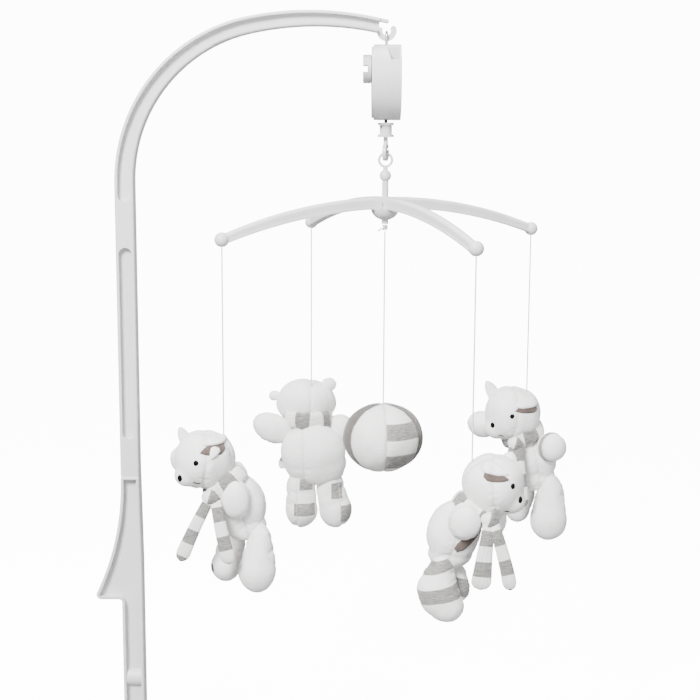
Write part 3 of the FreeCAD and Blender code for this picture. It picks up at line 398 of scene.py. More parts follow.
@dataclass(frozen=True)
class Yarn:
    """Twisted yarn or embroidery thread; the twist follows the piece's own coordinates."""

    name: str
    colour: Triple
    # darker tone painted into the twist grooves as shade
    dark: Triple
    turns: float = 90.0
    roughness: float = 0.6
    sheen: float = 0.3
    gloss: float = 0.3

    def material(self) -> bpy.types.Material:
        """Builds the finish."""
        recipe = Recipe(self.name)
        where = recipe.place()
        fuzz = recipe.grain(where, 2500.0, 3.0)
        slope = recipe.stretched(where, (900.0, 900.0, 2.0 * math.pi * self.turns * 10.0))
        axes = self._axes(recipe, slope)
        twist = axes.sine() * 0.5 + 0.5
        # painted shade in the twist grooves: the colour falls to the darker tone where the twist bump is
        # low, with random fuzz tone on top
        colour = recipe.blend((twist * 0.7 + fuzz * 0.5 - 0.1).clamped(), self.dark, self.colour)
        normal = recipe.relief(twist + fuzz * 0.4, 0.00018, 0.6)
        varying = {
            "Base Color": colour,
            "Roughness": fuzz * 0.2 + (self.roughness - 0.1),
            "Normal": normal,
        }
        fixed = {
            "Sheen Weight": self.sheen,
            "Sheen Roughness": 0.4,
            "Specular IOR Level": self.gloss,
        }
        return recipe.finish(varying, fixed)

    @staticmethod
    def _axes(recipe: Recipe, slope: Signal) -> Signal:
        """Sum of the three coordinates, which slants the twist across the thread."""
        parts = [recipe.node("ShaderNodeSeparateXYZ", {}, {0: slope}, index) for index in range(3)]
        return parts[0] + parts[1] + parts[2]


@dataclass(frozen=True)
class StudioPaper:
    """Pale matt paper under and round the mobile, lit from behind."""

    name: str = "studio_paper"
    colour: Triple = (0.93, 0.93, 0.93)
    backlight: float = 12.0

    def material(self) -> bpy.types.Material:
        """Builds the finish."""
        recipe = Recipe(self.name)
        tooth = recipe.grain(recipe.place(), 400.0, 2.0)
        paler = tuple(min(1.0, 1.02 * c) for c in self.colour)
        colour = recipe.blend(tooth, self.colour, paler)
        varying = {"Base Color": colour, "Roughness": tooth * 0.05 + 0.9}
        glow = {"Emission Color": (1.0, 1.0, 1.0, 1.0), "Emission Strength": self.backlight}
        return recipe.finish(varying, glow)


class Finish(Enum):
    """Every finish of the mobile, by what it is on."""

    ARM = Moulding("white_arm_moulding", (0.68, 0.68, 0.675), (0.58, 0.58, 0.58))
    CASE = Moulding("white_case_moulding", (0.66, 0.66, 0.655), (0.55, 0.55, 0.55), 0.38)
    KNOB = Moulding("knob_moulding", (0.60, 0.60, 0.595), (0.48, 0.48, 0.48), 0.4)
    SHAFT = Moulding("dark_shaft_moulding", (0.05, 0.05, 0.052), (0.02, 0.02, 0.02), 0.45)
    STEEL = Metal("zinc_plated_steel", (0.62, 0.63, 0.65), (0.42, 0.42, 0.43), 0.34)
    BRASS = Metal("movement_brass", (0.72, 0.53, 0.24), (0.5, 0.34, 0.14), 0.3)
    RUBBER = Rubber()
    PLUSH = Velour("white_velour")
    JERSEY = Velour(
        "striped_jersey", (0.88, 0.87, 0.855), (0.72, 0.70, 0.68), (0.24, 0.235, 0.225), rib_per_metre=900.0
    )
    PATCH = Velour(
        "patchwork_cloth",
        (0.90, 0.895, 0.885),
        (0.76, 0.74, 0.72),
        (0.27, 0.263, 0.252),
        (0.13, 0.12, 0.112),
        rib_per_metre=700.0,
    )
    # each yarn's second colour is the painted shade in its twist grooves
    CORD = Yarn("white_cord", (0.82, 0.82, 0.81), (0.55, 0.55, 0.54), 70.0)
    SEWING = Yarn("pale_sewing_thread", (0.78, 0.77, 0.75), (0.5, 0.49, 0.47), 120.0)
    SATIN = Yarn(
        "black_satin_thread", (0.004, 0.004, 0.004), (0.002, 0.002, 0.002), 60.0, 0.5, 0.0, 0.08
    )
    PAPER = StudioPaper()


class Wardrobe:
    """Makes each finish once and hands it out."""

    def __init__(self) -> None:
        """Starts with nothing made."""
        self._made: dict[Finish, bpy.types.Material] = {}

    def take(self, finish: Finish) -> bpy.types.Material:
        """The material of a finish.

        Args:
            finish: Which finish.

        Returns:
            The one material that all pieces with it share.
        """
        if finish not in self._made:
            self._made[finish] = finish.value.material()
        return self._made[finish]

    def dress(self, piece: bpy.types.Object, finish: Finish) -> None:
        """Gives every slot of a piece one finish.

        Args:
            piece: The object.
            finish: Its finish.
        """
        material = self.take(finish)
        if not piece.material_slots:
            piece.data.materials.append(material)
        for slot in piece.material_slots:
            slot.material = material


# ------------------------------------------------------------------------ mesh making
def new_piece(name: str, mesh: bpy.types.Mesh) -> bpy.types.Object:
    """Puts a mesh in the scene as a smooth-shaded piece.

    Args:
        name: The piece's name.
        mesh: Its mesh, in metres and in place.

    Returns:
        The new object.
    """
    piece = bpy.data.objects.new(name, mesh)
    bpy.context.scene.collection.objects.link(piece)
    mesh.shade_smooth()
    return piece


def baked(piece: bpy.types.Object) -> bpy.types.Mesh:
    """The mesh of a piece with its modifiers applied."""
    view = bpy.context.evaluated_depsgraph_get()
    view.update()
    return bpy.data.meshes.new_from_object(piece.evaluated_get(view), depsgraph=view)


def settle(piece: bpy.types.Object) -> None:
    """Applies a piece's modifiers and drops them."""
    mesh = baked(piece)
    piece.modifiers.clear()
    piece.data = mesh
    mesh.shade_smooth()


def points_of(mesh: bpy.types.Mesh) -> np.ndarray:
    """Vertex places as rows of three, in metres."""
    flat = np.empty(len(mesh.vertices) * 3, np.float32)
    mesh.vertices.foreach_get("co", flat)
    return flat.reshape(-1, 3).astype(float)


def normals_of(mesh: bpy.types.Mesh) -> np.ndarray:
    """Vertex normals as rows of three."""
    flat = np.empty(len(mesh.vertices) * 3, np.float32)
    mesh.vertex_normals.foreach_get("vector", flat)
    return flat.reshape(-1, 3).astype(float)


def move_points(mesh: bpy.types.Mesh, points: np.ndarray) -> None:
    """Writes vertex places back to a mesh."""
    mesh.vertices.foreach_set("co", points.astype(np.float32).ravel())
    mesh.update()


def write_attribute(mesh: bpy.types.Mesh, name: str, values: np.ndarray) -> None:
    """Stores one number per vertex."""
    made = mesh.attributes.new(name, "FLOAT", "POINT")
    made.data.foreach_set("value", np.asarray(values, np.float32))


def lumps(points: np.ndarray, per_metre: float, seed: float) -> np.ndarray:
    """Smooth noise from -1 to 1 at each point.

    Args:
        points: Places in metres.
        per_metre: Number of lumps along a metre.
        seed: Shift of the noise, so that no two pieces match.

    Returns:
        One value per point.
    """
    shift = Vector((seed * 7.3, seed * 3.1, seed * 5.7))
    return np.array([noise.noise(Vector(p) * per_metre + shift) for p in points])


class Loft:
    """Closed tube with a flattened section that follows a path."""

    def __init__(self, sides: int = 16) -> None:
        """Starts an empty loft.

        Args:
            sides: Number of points around the section.
        """
        self.sides = sides
        self.rings: list[list[Vector]] = []
        self.along: list[float] = []
        self.closed = False

    def ring(self, centre: Vector, across: Vector, out: Vector, width: float, thick: float) -> None:
        """Adds one section.

        Args:
            centre: Its middle.
            across: Direction of its width.
            out: Direction of its thickness.
            width: Full width.
            thick: Full thickness.
        """
        points = []
        for step in range(self.sides):
            turn = 2 * math.pi * step / self.sides
            wide = math.copysign(abs(math.cos(turn)) ** 0.75, math.cos(turn)) * width / 2
            deep = math.copysign(abs(math.sin(turn)) ** 0.85, math.sin(turn)) * thick / 2
            points.append(centre + across * wide + out * deep)
        length = (centre - self._middle(-1)).length if self.rings else 0.0
        self.along.append((self.along[-1] if self.along else 0.0) + length)
        self.rings.append(points)

    def _middle(self, index: int) -> Vector:
        """Middle of one section."""
        return sum(self.rings[index], Vector()) / self.sides

    def mesh(self, name: str, hoop: float, phase: float) -> bpy.types.Mesh:
        """Joins the sections.

        Args:
            name: The mesh's name.
            hoop: Width of one hoop of colour, in millimetres.
            phase: Where the first grey hoop starts, in millimetres.

        Returns:
            The closed mesh with its cloth attributes.
        """
        count, sides = len(self.rings), self.sides
        verts = [p for ring in self.rings for p in ring]
        faces = []
        for row in range(count if self.closed else count - 1):
            after = (row + 1) % count
            for step in range(sides):
                turn = (step + 1) % sides
                here, there = row * sides, after * sides
                faces.append((here + step, here + turn, there + turn, there + step))
        along = np.repeat(np.array(self.along), sides) / MM
        if not self.closed:
            for row in (0, count - 1):
                verts.append(self._middle(row))
                for step in range(sides):
                    pair = (row * sides + step, row * sides + (step + 1) % sides)
                    faces.append((*pair, len(verts) - 1))
                along = np.append(along, self.along[row] / MM)
        mesh = bpy.data.meshes.new(name)
        mesh.from_pydata([tuple(v) for v in verts], [], faces)
        turn_out(mesh)
        write_attribute(mesh, "grey_edge", hoop_edge(along, hoop, phase))
        write_attribute(mesh, "brown_edge", np.full(len(verts), -2.0))
        write_attribute(mesh, "seam_depth", np.zeros(len(verts)))
        across = np.tile(np.arange(sides) * 0.001, count)
        write_attribute(mesh, "cloth_across", np.resize(across, len(verts)))
        return mesh


def turn_out(mesh: bpy.types.Mesh) -> None:
    """Makes all faces of a closed mesh point outwards."""
    work = bmesh.new()
    work.from_mesh(mesh)
    bmesh.ops.recalc_face_normals(work, faces=work.faces)
    work.to_mesh(mesh)
    work.free()


def two_layer_faces(rows: int, columns: int) -> list[tuple[int, ...]]:
    """Faces of two equal grids of points that are joined round their rim.

    Args:
        rows: Rows of each grid.
        columns: Points in a row.

    Returns:
        The faces; the second grid's points follow the first's.
    """
    size = rows * columns
    faces: list[tuple[int, ...]] = []
    for row in range(rows - 1):
        for column in range(columns - 1):
            corner = row * columns + column
            quad = (corner, corner + 1, corner + columns + 1, corner + columns)
            faces.append(quad)
            faces.append(tuple(size + index for index in reversed(quad)))
    rim = list(range(columns))
    rim += [(row + 1) * columns - 1 for row in range(1, rows)]
    rim += [(rows - 1) * columns + column for column in range(columns - 2, -1, -1)]
    rim += [row * columns for row in range(rows - 2, 0, -1)]
    for start, end in zip(rim, rim[1:] + rim[:1]):
        faces.append((end, start, size + start, size + end))
    return faces


def hoop_edge(along: np.ndarray, hoop: float, phase: float) -> np.ndarray:
    """How far inside a grey hoop each point is; less than zero in the white between."""
    place = (along - phase - hoop / 2 + hoop) % (2 * hoop) - hoop
    return hoop / 2 - np.abs(place)


def joined(name: str, meshes: list[bpy.types.Mesh]) -> bpy.types.Mesh:
    """Puts several closed meshes into one, with their number attributes.

    Args:
        name: The new mesh's name.
        meshes: The meshes, which are removed.

    Returns:
        The joint mesh.
    """
    work = bmesh.new()
    for mesh in meshes:
        work.from_mesh(mesh)
        bpy.data.meshes.remove(mesh)
    whole = bpy.data.meshes.new(name)
    work.to_mesh(whole)
    work.free()
    return whole


# -------------------------------------------------------------------- sewn stitch rows
@dataclass(frozen=True)
class StitchRow:
    """Short raised stitches at equal steps along lines; a Geometry Nodes tree sews them."""

    spacing: float = 3.4
    length: float = 2.1
    radius: float = 0.24

    def tree(self, material: bpy.types.Material) -> bpy.types.GeometryNodeTree:
        """Builds the node tree.

        Args:
            material: The thread's material.

        Returns:
            The tree, with its sizes as named inputs.
        """
        tree = bpy.data.node_groups.new("stitch_row", "GeometryNodeTree")
        face = tree.interface
        face.new_socket("Geometry", in_out="INPUT", socket_type="NodeSocketGeometry")
        for label in ("Spacing", "Stitch Length", "Thread Radius"):
            face.new_socket(label, in_out="INPUT", socket_type="NodeSocketFloat")
        face.new_socket("Geometry", in_out="OUTPUT", socket_type="NodeSocketGeometry")
        make, link = tree.nodes.new, tree.links.new
        source, sink = make("NodeGroupInput"), make("NodeGroupOutput")
        curve = make("GeometryNodeMeshToCurve")
        link(source.outputs["Geometry"], curve.inputs[0])
        steps = make("GeometryNodeResampleCurve")
        steps.mode = "LENGTH"
        link(curve.outputs[0], steps.inputs["Curve"])
        link(source.outputs["Spacing"], steps.inputs["Length"])
        thread = make("GeometryNodeMeshUVSphere")
        thread.inputs["Segments"].default_value = 6
        thread.inputs["Rings"].default_value = 5
        link(source.outputs["Thread Radius"], thread.inputs["Radius"])
        ratio = make("ShaderNodeMath")
        ratio.operation = "DIVIDE"
        link(source.outputs["Stitch Length"], ratio.inputs[0])
        link(source.outputs["Thread Radius"], ratio.inputs[1])
        half = make("ShaderNodeMath")
        half.operation = "MULTIPLY"
        half.inputs[1].default_value = 0.5
        link(ratio.outputs[0], half.inputs[0])
        stretch = make("ShaderNodeCombineXYZ")
        stretch.inputs[0].default_value = 1.0
        stretch.inputs[1].default_value = 1.0
        link(half.outputs[0], stretch.inputs[2])
        tangent = make("GeometryNodeInputTangent")
        lean = make("FunctionNodeAlignRotationToVector")
        lean.axis = "Z"
        link(tangent.outputs[0], lean.inputs["Vector"])
        sew = make("GeometryNodeInstanceOnPoints")
        link(steps.outputs[0], sew.inputs["Points"])
        link(thread.outputs["Mesh"], sew.inputs["Instance"])
        link(lean.outputs[0], sew.inputs["Rotation"])
        link(stretch.outputs[0], sew.inputs["Scale"])
        real, dress = make("GeometryNodeRealizeInstances"), make("GeometryNodeSetMaterial")
        dress.inputs["Material"].default_value = material
        link(sew.outputs[0], real.inputs[0])
        link(real.outputs[0], dress.inputs[0])
        link(dress.outputs[0], sink.inputs[0])
        return tree

    def sew(self, name: str, lines: list[list[Vector]], material: bpy.types.Material) -> bpy.types.Object:
        """Sews stitches along lines.

        Args:
            name: The piece's name.
            lines: Open lines of points, in metres.
            material: The thread's material.

        Returns:
            The stitches as one plain mesh piece.
        """
        verts: list[Vector] = []
        edges: list[tuple[int, int]] = []
        for points in lines:
            start = len(verts)
            verts.extend(points)
            edges.extend((start + i, start + i + 1) for i in range(len(points) - 1))
        mesh = bpy.data.meshes.new(name)
        mesh.from_pydata([tuple(v) for v in verts], edges, [])
        piece = new_piece(name, mesh)
        row = piece.modifiers.new("stitch_row", "NODES")
        row.node_group = self.tree(material)
        sizes = {"Spacing": self.spacing, "Stitch Length": self.length, "Thread Radius": self.radius}
        for item in row.node_group.interface.items_tree:
            if item.item_type == "SOCKET" and item.name in sizes:
                row[item.identifier] = sizes[item.name] * MM
        settle(piece)
        return piece


class SatinPatch:
    """Oval of parallel satin stitches, slightly domed, for an eye or a nose."""

    def __init__(self, half_width: float, half_height: float, threads: int = 11) -> None:
        """Sets the patch's size.

        Args:
            half_width: Half its width across the threads, in millimetres.
            half_height: Half its height along the threads, in millimetres.
            threads: Number of threads side by side.
        """
        self.half_width = half_width
        self.half_height = half_height
        self.threads = threads

    def mesh(self, name: str, place: Vector, out: Vector, up: Vector) -> bpy.types.Mesh:
        """Builds the threads.

        Args:
            name: The mesh's name.
            place: Middle of the patch on the cloth, in metres.
            out: Direction away from the cloth.
            up: Direction of the threads.

        Returns:
            The patch as one mesh of closed threads.
        """
        across = up.cross(out).normalized()
        up = out.cross(across).normalized()
        work = bmesh.new()
        pitch = 2 * self.half_width / self.threads
        for row in range(self.threads):
            share = (row + 0.5) / self.threads * 2 - 1
            reach = self.half_height * math.sqrt(max(0.05, 1 - share * share))
            rings = []
            for step in range(9):
                run = step / 8 * 2 - 1
                dome = 0.9 * (1 - share * share) * (1 - run * run) ** 0.5 - 0.35
                thin = 0.62 * pitch * max(0.15, 1 - abs(run) ** 6)
                middle = place + (across * share * self.half_width + up * run * reach + out * dome) * MM
                ring = []
                for side in range(6):
                    turn = math.pi * side / 3
                    reachout = (across * math.cos(turn) + out * math.sin(turn)) * thin * MM
                    ring.append(work.verts.new(middle + reachout))
                rings.append(ring)
            for a, b in zip(rings, rings[1:]):
                for side in range(6):
                    after = (side + 1) % 6
                    work.faces.new((a[side], a[after], b[after], b[side]))
            work.faces.new(rings[0][::-1])
            work.faces.new(rings[-1])
        bmesh.ops.recalc_face_normals(work, faces=work.faces)
        mesh = bpy.data.meshes.new(name)
        work.to_mesh(mesh)
        work.free()
        return mesh


# -------------------------------------------------------------------------- soft toys
class Tone(Enum):
    """Colour of a marked piece of cloth."""

    GREY = "grey_edge"
    BROWN = "brown_edge"


@dataclass(frozen=True)
class Spot:
    """Round patch of another cloth."""

    centre: Triple
    reach: float
    tone: Tone = Tone.GREY

    def edge(self, points: np.ndarray) -> np.ndarray:
        """How far inside the coloured cloth each point is, in millimetres."""
        return self.reach - np.linalg.norm(points - np.array(self.centre), axis=1)


@dataclass(frozen=True)
class Block:
    """Four-sided patch of another cloth."""

    centre: Triple
    half: Triple
    tone: Tone = Tone.GREY

    def edge(self, points: np.ndarray) -> np.ndarray:
        """How far inside the coloured cloth each point is, in millimetres."""
        return np.min(np.array(self.half) - np.abs(points - np.array(self.centre)), axis=1)


@dataclass(frozen=True)
class Ring:
    """Band of another cloth round a limb."""

    centre: Triple
    axis: Triple
    at: float
    width: float
    tone: Tone = Tone.GREY

    def edge(self, points: np.ndarray) -> np.ndarray:
        """How far inside the coloured cloth each point is, in millimetres."""
        axis = np.array(self.axis) / np.linalg.norm(self.axis)
        return self.width / 2 - np.abs((points - np.array(self.centre)) @ axis - self.at)


@dataclass(frozen=True)
class Lobe:
    """Egg-shaped part of a stuffed pouch, in millimetres from the cord's end."""

    centre: Triple
    radii: Triple
    tilt: float = 0.0
    turn: float = 0.0

    def matrix(self) -> Matrix:
        """Places a unit sphere as this lobe, in millimetres."""
        spin = Matrix.Rotation(math.radians(self.turn), 4, "Z")
        spin = spin @ Matrix.Rotation(math.radians(self.tilt), 4, "Y")
        return Matrix.Translation(self.centre) @ spin @ Matrix.Diagonal((*self.radii, 1.0))

    def corners(self) -> tuple[np.ndarray, np.ndarray]:
        """Lowest and highest corner of the lobe."""
        turned = np.array(self.matrix().to_3x3())
        reach = np.linalg.norm(turned, axis=1)
        return np.array(self.centre) - reach, np.array(self.centre) + reach


@dataclass(frozen=True)
class Seam:
    """Sewn line where a plane cuts a pouch."""

    normal: Triple
    offset: float = 0.0
    depth: float = 0.5


@dataclass(frozen=True)
class Pouch:
    """One stuffed part, sewn and filled before the toy is put together."""

    name: str
    lobes: tuple[Lobe, ...]
    seams: tuple[Seam, ...] = ()
    markings: tuple[Spot | Block | Ring, ...] = ()
    voxel: float = 2.1

    def middle(self) -> np.ndarray:
        """Middle of the pouch's lobes."""
        return np.mean([lobe.centre for lobe in self.lobes], axis=0)

    def sewn(self, move: Vector) -> bpy.types.Object:
        """Makes the pouch's plain skin.

        Args:
            move: Shift from the toy's own place, in millimetres.

        Returns:
            The skin as an even quad mesh, in metres.
        """
        work = bmesh.new()
        shift = Matrix.Scale(MM, 4) @ Matrix.Translation(move)
        for lobe in self.lobes:
            bmesh.ops.create_icosphere(work, subdivisions=4, radius=1.0, matrix=shift @ lobe.matrix())
        mesh = bpy.data.meshes.new(self.name)
        work.to_mesh(mesh)
        work.free()
        piece = new_piece(self.name, mesh)
        remesh = piece.modifiers.new("even", "REMESH")
        remesh.mode = "VOXEL"
        remesh.voxel_size = self.voxel * MM
        smooth = piece.modifiers.new("soft", "SMOOTH")
        smooth.factor = 0.5
        smooth.iterations = 7
        settle(piece)
        return piece

    def seam_shares(self, local: np.ndarray, width: float) -> np.ndarray:
        """How near each point is to a seam, from 0 to 1.

        Args:
            local: Points in the toy's own millimetres.
            width: Distance at which the share has fallen to about a third.

        Returns:
            One share per point.
        """
        share = np.zeros(len(local))
        for seam in self.seams:
            normal = np.array(seam.normal) / np.linalg.norm(seam.normal)
            away = (local - self.middle()) @ normal - seam.offset
            share = np.maximum(share, np.exp(-((away / width) ** 2)))
        return share

    def sculpt(self, piece: bpy.types.Object, move: Vector, seed: float) -> None:
        """Sinks the seams, puckers the cloth beside them, marks other cloths and marks the seam grooves for
        painted shade.

        Args:
            piece: The filled skin.
            move: Shift from the toy's own place, in millimetres.
            seed: Shift of the noise.
        """
        finer = piece.modifiers.new("finer", "SUBSURF")
        finer.levels = finer.render_levels = 1
        settle(piece)
        points, out = points_of(piece.data), normals_of(piece.data)
        local = points / MM - np.array(move)
        groove = self.seam_shares(local, 0.9)
        beside = self.seam_shares(local, 4.5)
        pucker = lumps(points, 340.0, seed)
        stuffing = lumps(points, 55.0, seed + 2.0)
        depth = max((seam.depth for seam in self.seams), default=0.0)
        height = stuffing * 1.0 + pucker * (0.12 + beside * 0.5) - groove * depth * (1 + 0.3 * pucker)
        move_points(piece.data, points + out * height[:, None] * MM)
        for tone in Tone:
            edges = [mark.edge(local) for mark in self.markings if mark.tone is tone]
            inside = np.max(edges, axis=0) if edges else np.full(len(local), -3.0)
            write_attribute(piece.data, tone.value, inside)
        # painted shade along the sunk seams
        write_attribute(piece.data, "seam_depth", groove)
        write_attribute(piece.data, "cloth_across", local[:, 0] * MM)

    def seam_lines(self, tree: BVHTree, move: Vector) -> list[list[Vector]]:
        """Lines on the filled skin along the seams.

        Args:
            tree: The skin's faces, for casting rays.
            move: Shift from the toy's own place, in millimetres.

        Returns:
            One line per seam, in metres.
        """
        lines = []
        for seam in self.seams:
            normal = Vector(seam.normal).normalized()
            middle = (Vector(self.middle()) + move + normal * seam.offset) * MM
            side = normal.orthogonal().normalized()
            line = []
            for step in range(73):
                ray = Matrix.Rotation(2 * math.pi * step / 72, 3, normal) @ side
                hit = tree.ray_cast(middle + ray * 0.08, -ray)
                if hit[0] is not None:
                    line.append(hit[0] + ray * 0.00005)
            lines.append(line)
        return lines


class StuffingBench:
    """Fills all pouches at once by a cloth simulation, many times over size."""

    def __init__(self, frames: int = 14, scale: float = 20.0, cap: float = 2.2) -> None:
        """Sets up the bench.

        Args:
            frames: Steps of the simulation.
            scale: How much larger the pouches are while they are filled.
            cap: How far the cloth may move, in millimetres.
        """
        self.frames = frames
        self.scale = scale
        self.cap = cap
        self.pouches: list[tuple[bpy.types.Object, np.ndarray]] = []

    def add(self, piece: bpy.types.Object, pins: np.ndarray) -> None:
        """Lays a pouch on the bench.

        Args:
            piece: Its plain skin.
            pins: How firmly each vertex is held, from 0 to 1.
        """
        group = piece.vertex_groups.new(name="held")
        for index in np.nonzero(pins > 0.35)[0]:
            group.add([int(index)], float(min(1.0, pins[index])), "REPLACE")
        self.pouches.append((piece, points_of(piece.data)))

    def fill(self) -> None:
        """Runs the simulation and keeps its result as plain meshes."""
        if not self.pouches:
            return
        for piece, points in self.pouches:
            move_points(piece.data, points * self.scale)
            cloth = piece.modifiers.new("stuffing", "CLOTH")
            cloth.settings.quality = 4
            cloth.settings.mass = 0.2
            cloth.settings.tension_stiffness = 18.0
            cloth.settings.compression_stiffness = 10.0
            cloth.settings.shear_stiffness = 8.0
            cloth.settings.bending_stiffness = 0.4
            cloth.settings.use_pressure = True
            cloth.settings.uniform_pressure_force = 2.5
            cloth.settings.shrink_min = -0.05
            cloth.settings.vertex_group_mass = "held"
            cloth.settings.effector_weights.gravity = 0.0
            cloth.collision_settings.use_collision = False
            cloth.point_cache.frame_start = 1
            cloth.point_cache.frame_end = self.frames
        for frame in range(1, self.frames + 1):
            bpy.context.scene.frame_set(frame)
        for piece, points in self.pouches:
            filled = points_of(baked(piece)) / self.scale
            moved = filled - points
            reach = np.linalg.norm(moved, axis=1, keepdims=True)
            moved *= np.minimum(1.0, self.cap * MM / np.maximum(reach, 1e-9))
            piece.modifiers.clear()
            piece.vertex_groups.clear()
            move_points(piece.data, points + moved)
        bpy.context.scene.frame_set(1)


@dataclass(frozen=True)
class Ear:
    """Two-layered ear: white outside, brown lining inside."""

    base: Triple
    point: Triple
    facing: Triple
    length: float
    width: float
    cup: float = 3.0
    fold: float = 0.0

    def mesh(self, name: str, move: Vector) -> bpy.types.Mesh:
        """Builds the ear.

        Args:
            name: The mesh's name.
            move: Shift from the toy's own place, in millimetres.

        Returns:
            The closed ear, in metres.
        """
        rows, columns, thick = 16, 15, 2.2
        out = Vector(self.facing).normalized()
        along = Vector(self.point).normalized()
        across = along.cross(out).normalized()
        out = across.cross(along).normalized()
        place = Vector(self.base) + move
        layers: list[list[Vector]] = [[], []]
        for row in range(rows):
            share = row / (rows - 1)
            bend = math.radians(self.fold) * min(1.0, max(0.0, (share - 0.3) / 0.4))
            step = along * math.cos(bend) + out * math.sin(bend)
            lift = out * math.cos(bend) - along * math.sin(bend)
            if row:
                place = place + step * (self.length / (rows - 1))
            half = self.width / 2 * (1 - share**2.2) ** 0.75 * (0.86 + 0.3 * share)
            for column in range(columns):
                run = column / (columns - 1) * 2 - 1
                body = thick / 2 * math.sqrt(max(0.0, 1 - run**4)) * math.sqrt(max(0.02, 1 - share**5))
                middle = place + across * half * run + lift * self.cup * run * run
                for layer, side in zip(layers, (1, -1)):
                    layer.append((middle + lift * body * side) * MM)
        verts = layers[0] + layers[1]
        size = rows * columns
        mesh = bpy.data.meshes.new(name)
        mesh.from_pydata([tuple(v) for v in verts], [], two_layer_faces(rows, columns))
        turn_out(mesh)
        lining = np.concatenate([np.full(size, 0.9), np.full(size, -0.9)])
        write_attribute(mesh, "grey_edge", np.full(2 * size, -3.0))
        write_attribute(mesh, "brown_edge", lining)
        write_attribute(mesh, "seam_depth", np.zeros(2 * size))
        write_attribute(mesh, "cloth_across", np.zeros(2 * size))
        return mesh


@dataclass(frozen=True)
class LyingFlap:
    """Leaf of cloth sewn flat on a filled skin, for an ear's lining, its white flap and a brown leaf on the
    body.
    """

    rear: tuple[float, float]
    front: tuple[float, float]
    height: float
    lift: float = 0.5
    lip: float = 0.0
    tone: Tone | None = Tone.BROWN

    def mesh(self, name: str, skin: BVHTree, gaze: Vector, move: Vector) -> bpy.types.Mesh:
        """Builds the leaf on the skin.

        Args:
            name: The mesh's name.
            skin: The skin's faces.
            gaze: Direction in which the leaf is laid on the skin.
            move: Shift from the toy's own place, in millimetres.

        Returns:
            The closed leaf, in metres.
        """
        rows, columns = 18, 9
        rear, front = (Vector((x, 0.0, z)) for x, z in (self.rear, self.front))
        upright = (front - rear).cross(Vector((0, 1, 0))).normalized()
        if upright.z < 0:
            upright = -upright
        tops, bottoms = [], []
        last = None
        for row in range(rows):
            share = row / (rows - 1)
            half = self.height / 2 * (1 - share**2.4) ** 0.8 * min(1.0, 0.45 + 3.0 * share)
            half = max(half, 0.15)
            for column in range(columns):
                run = column / (columns - 1) * 2 - 1
                aim = rear.lerp(front, share) + upright * half * run + move
                place, out, _, _ = skin.ray_cast((aim - gaze * 90) * MM, gaze)
                if place is None:
                    place, out = last or (aim * MM, -gaze)
                out = out if out.dot(gaze) < 0 else -out
                last = (place, out)
                edge = math.sqrt(max(0.0, 1 - run**4)) * math.sqrt(max(0.0, 1 - (2 * share - 1) ** 6))
                proud = self.lift + self.lip * (1 - run) / 2 * math.sin(math.pi * min(1.0, share + 0.15))
                tops.append(place + out * (proud + 0.9 * edge) * MM)
                bottoms.append(place + out * (proud - 0.8 - 0.3 * edge) * MM)
        size = rows * columns
        mesh = bpy.data.meshes.new(name)
        mesh.from_pydata([tuple(v) for v in tops + bottoms], [], two_layer_faces(rows, columns))
        turn_out(mesh)
        for tone in Tone:
            write_attribute(mesh, tone.value, np.full(2 * size, 3.0 if tone is self.tone else -3.0))
        write_attribute(mesh, "seam_depth", np.zeros(2 * size))
        write_attribute(mesh, "cloth_across", np.zeros(2 * size))
        return mesh


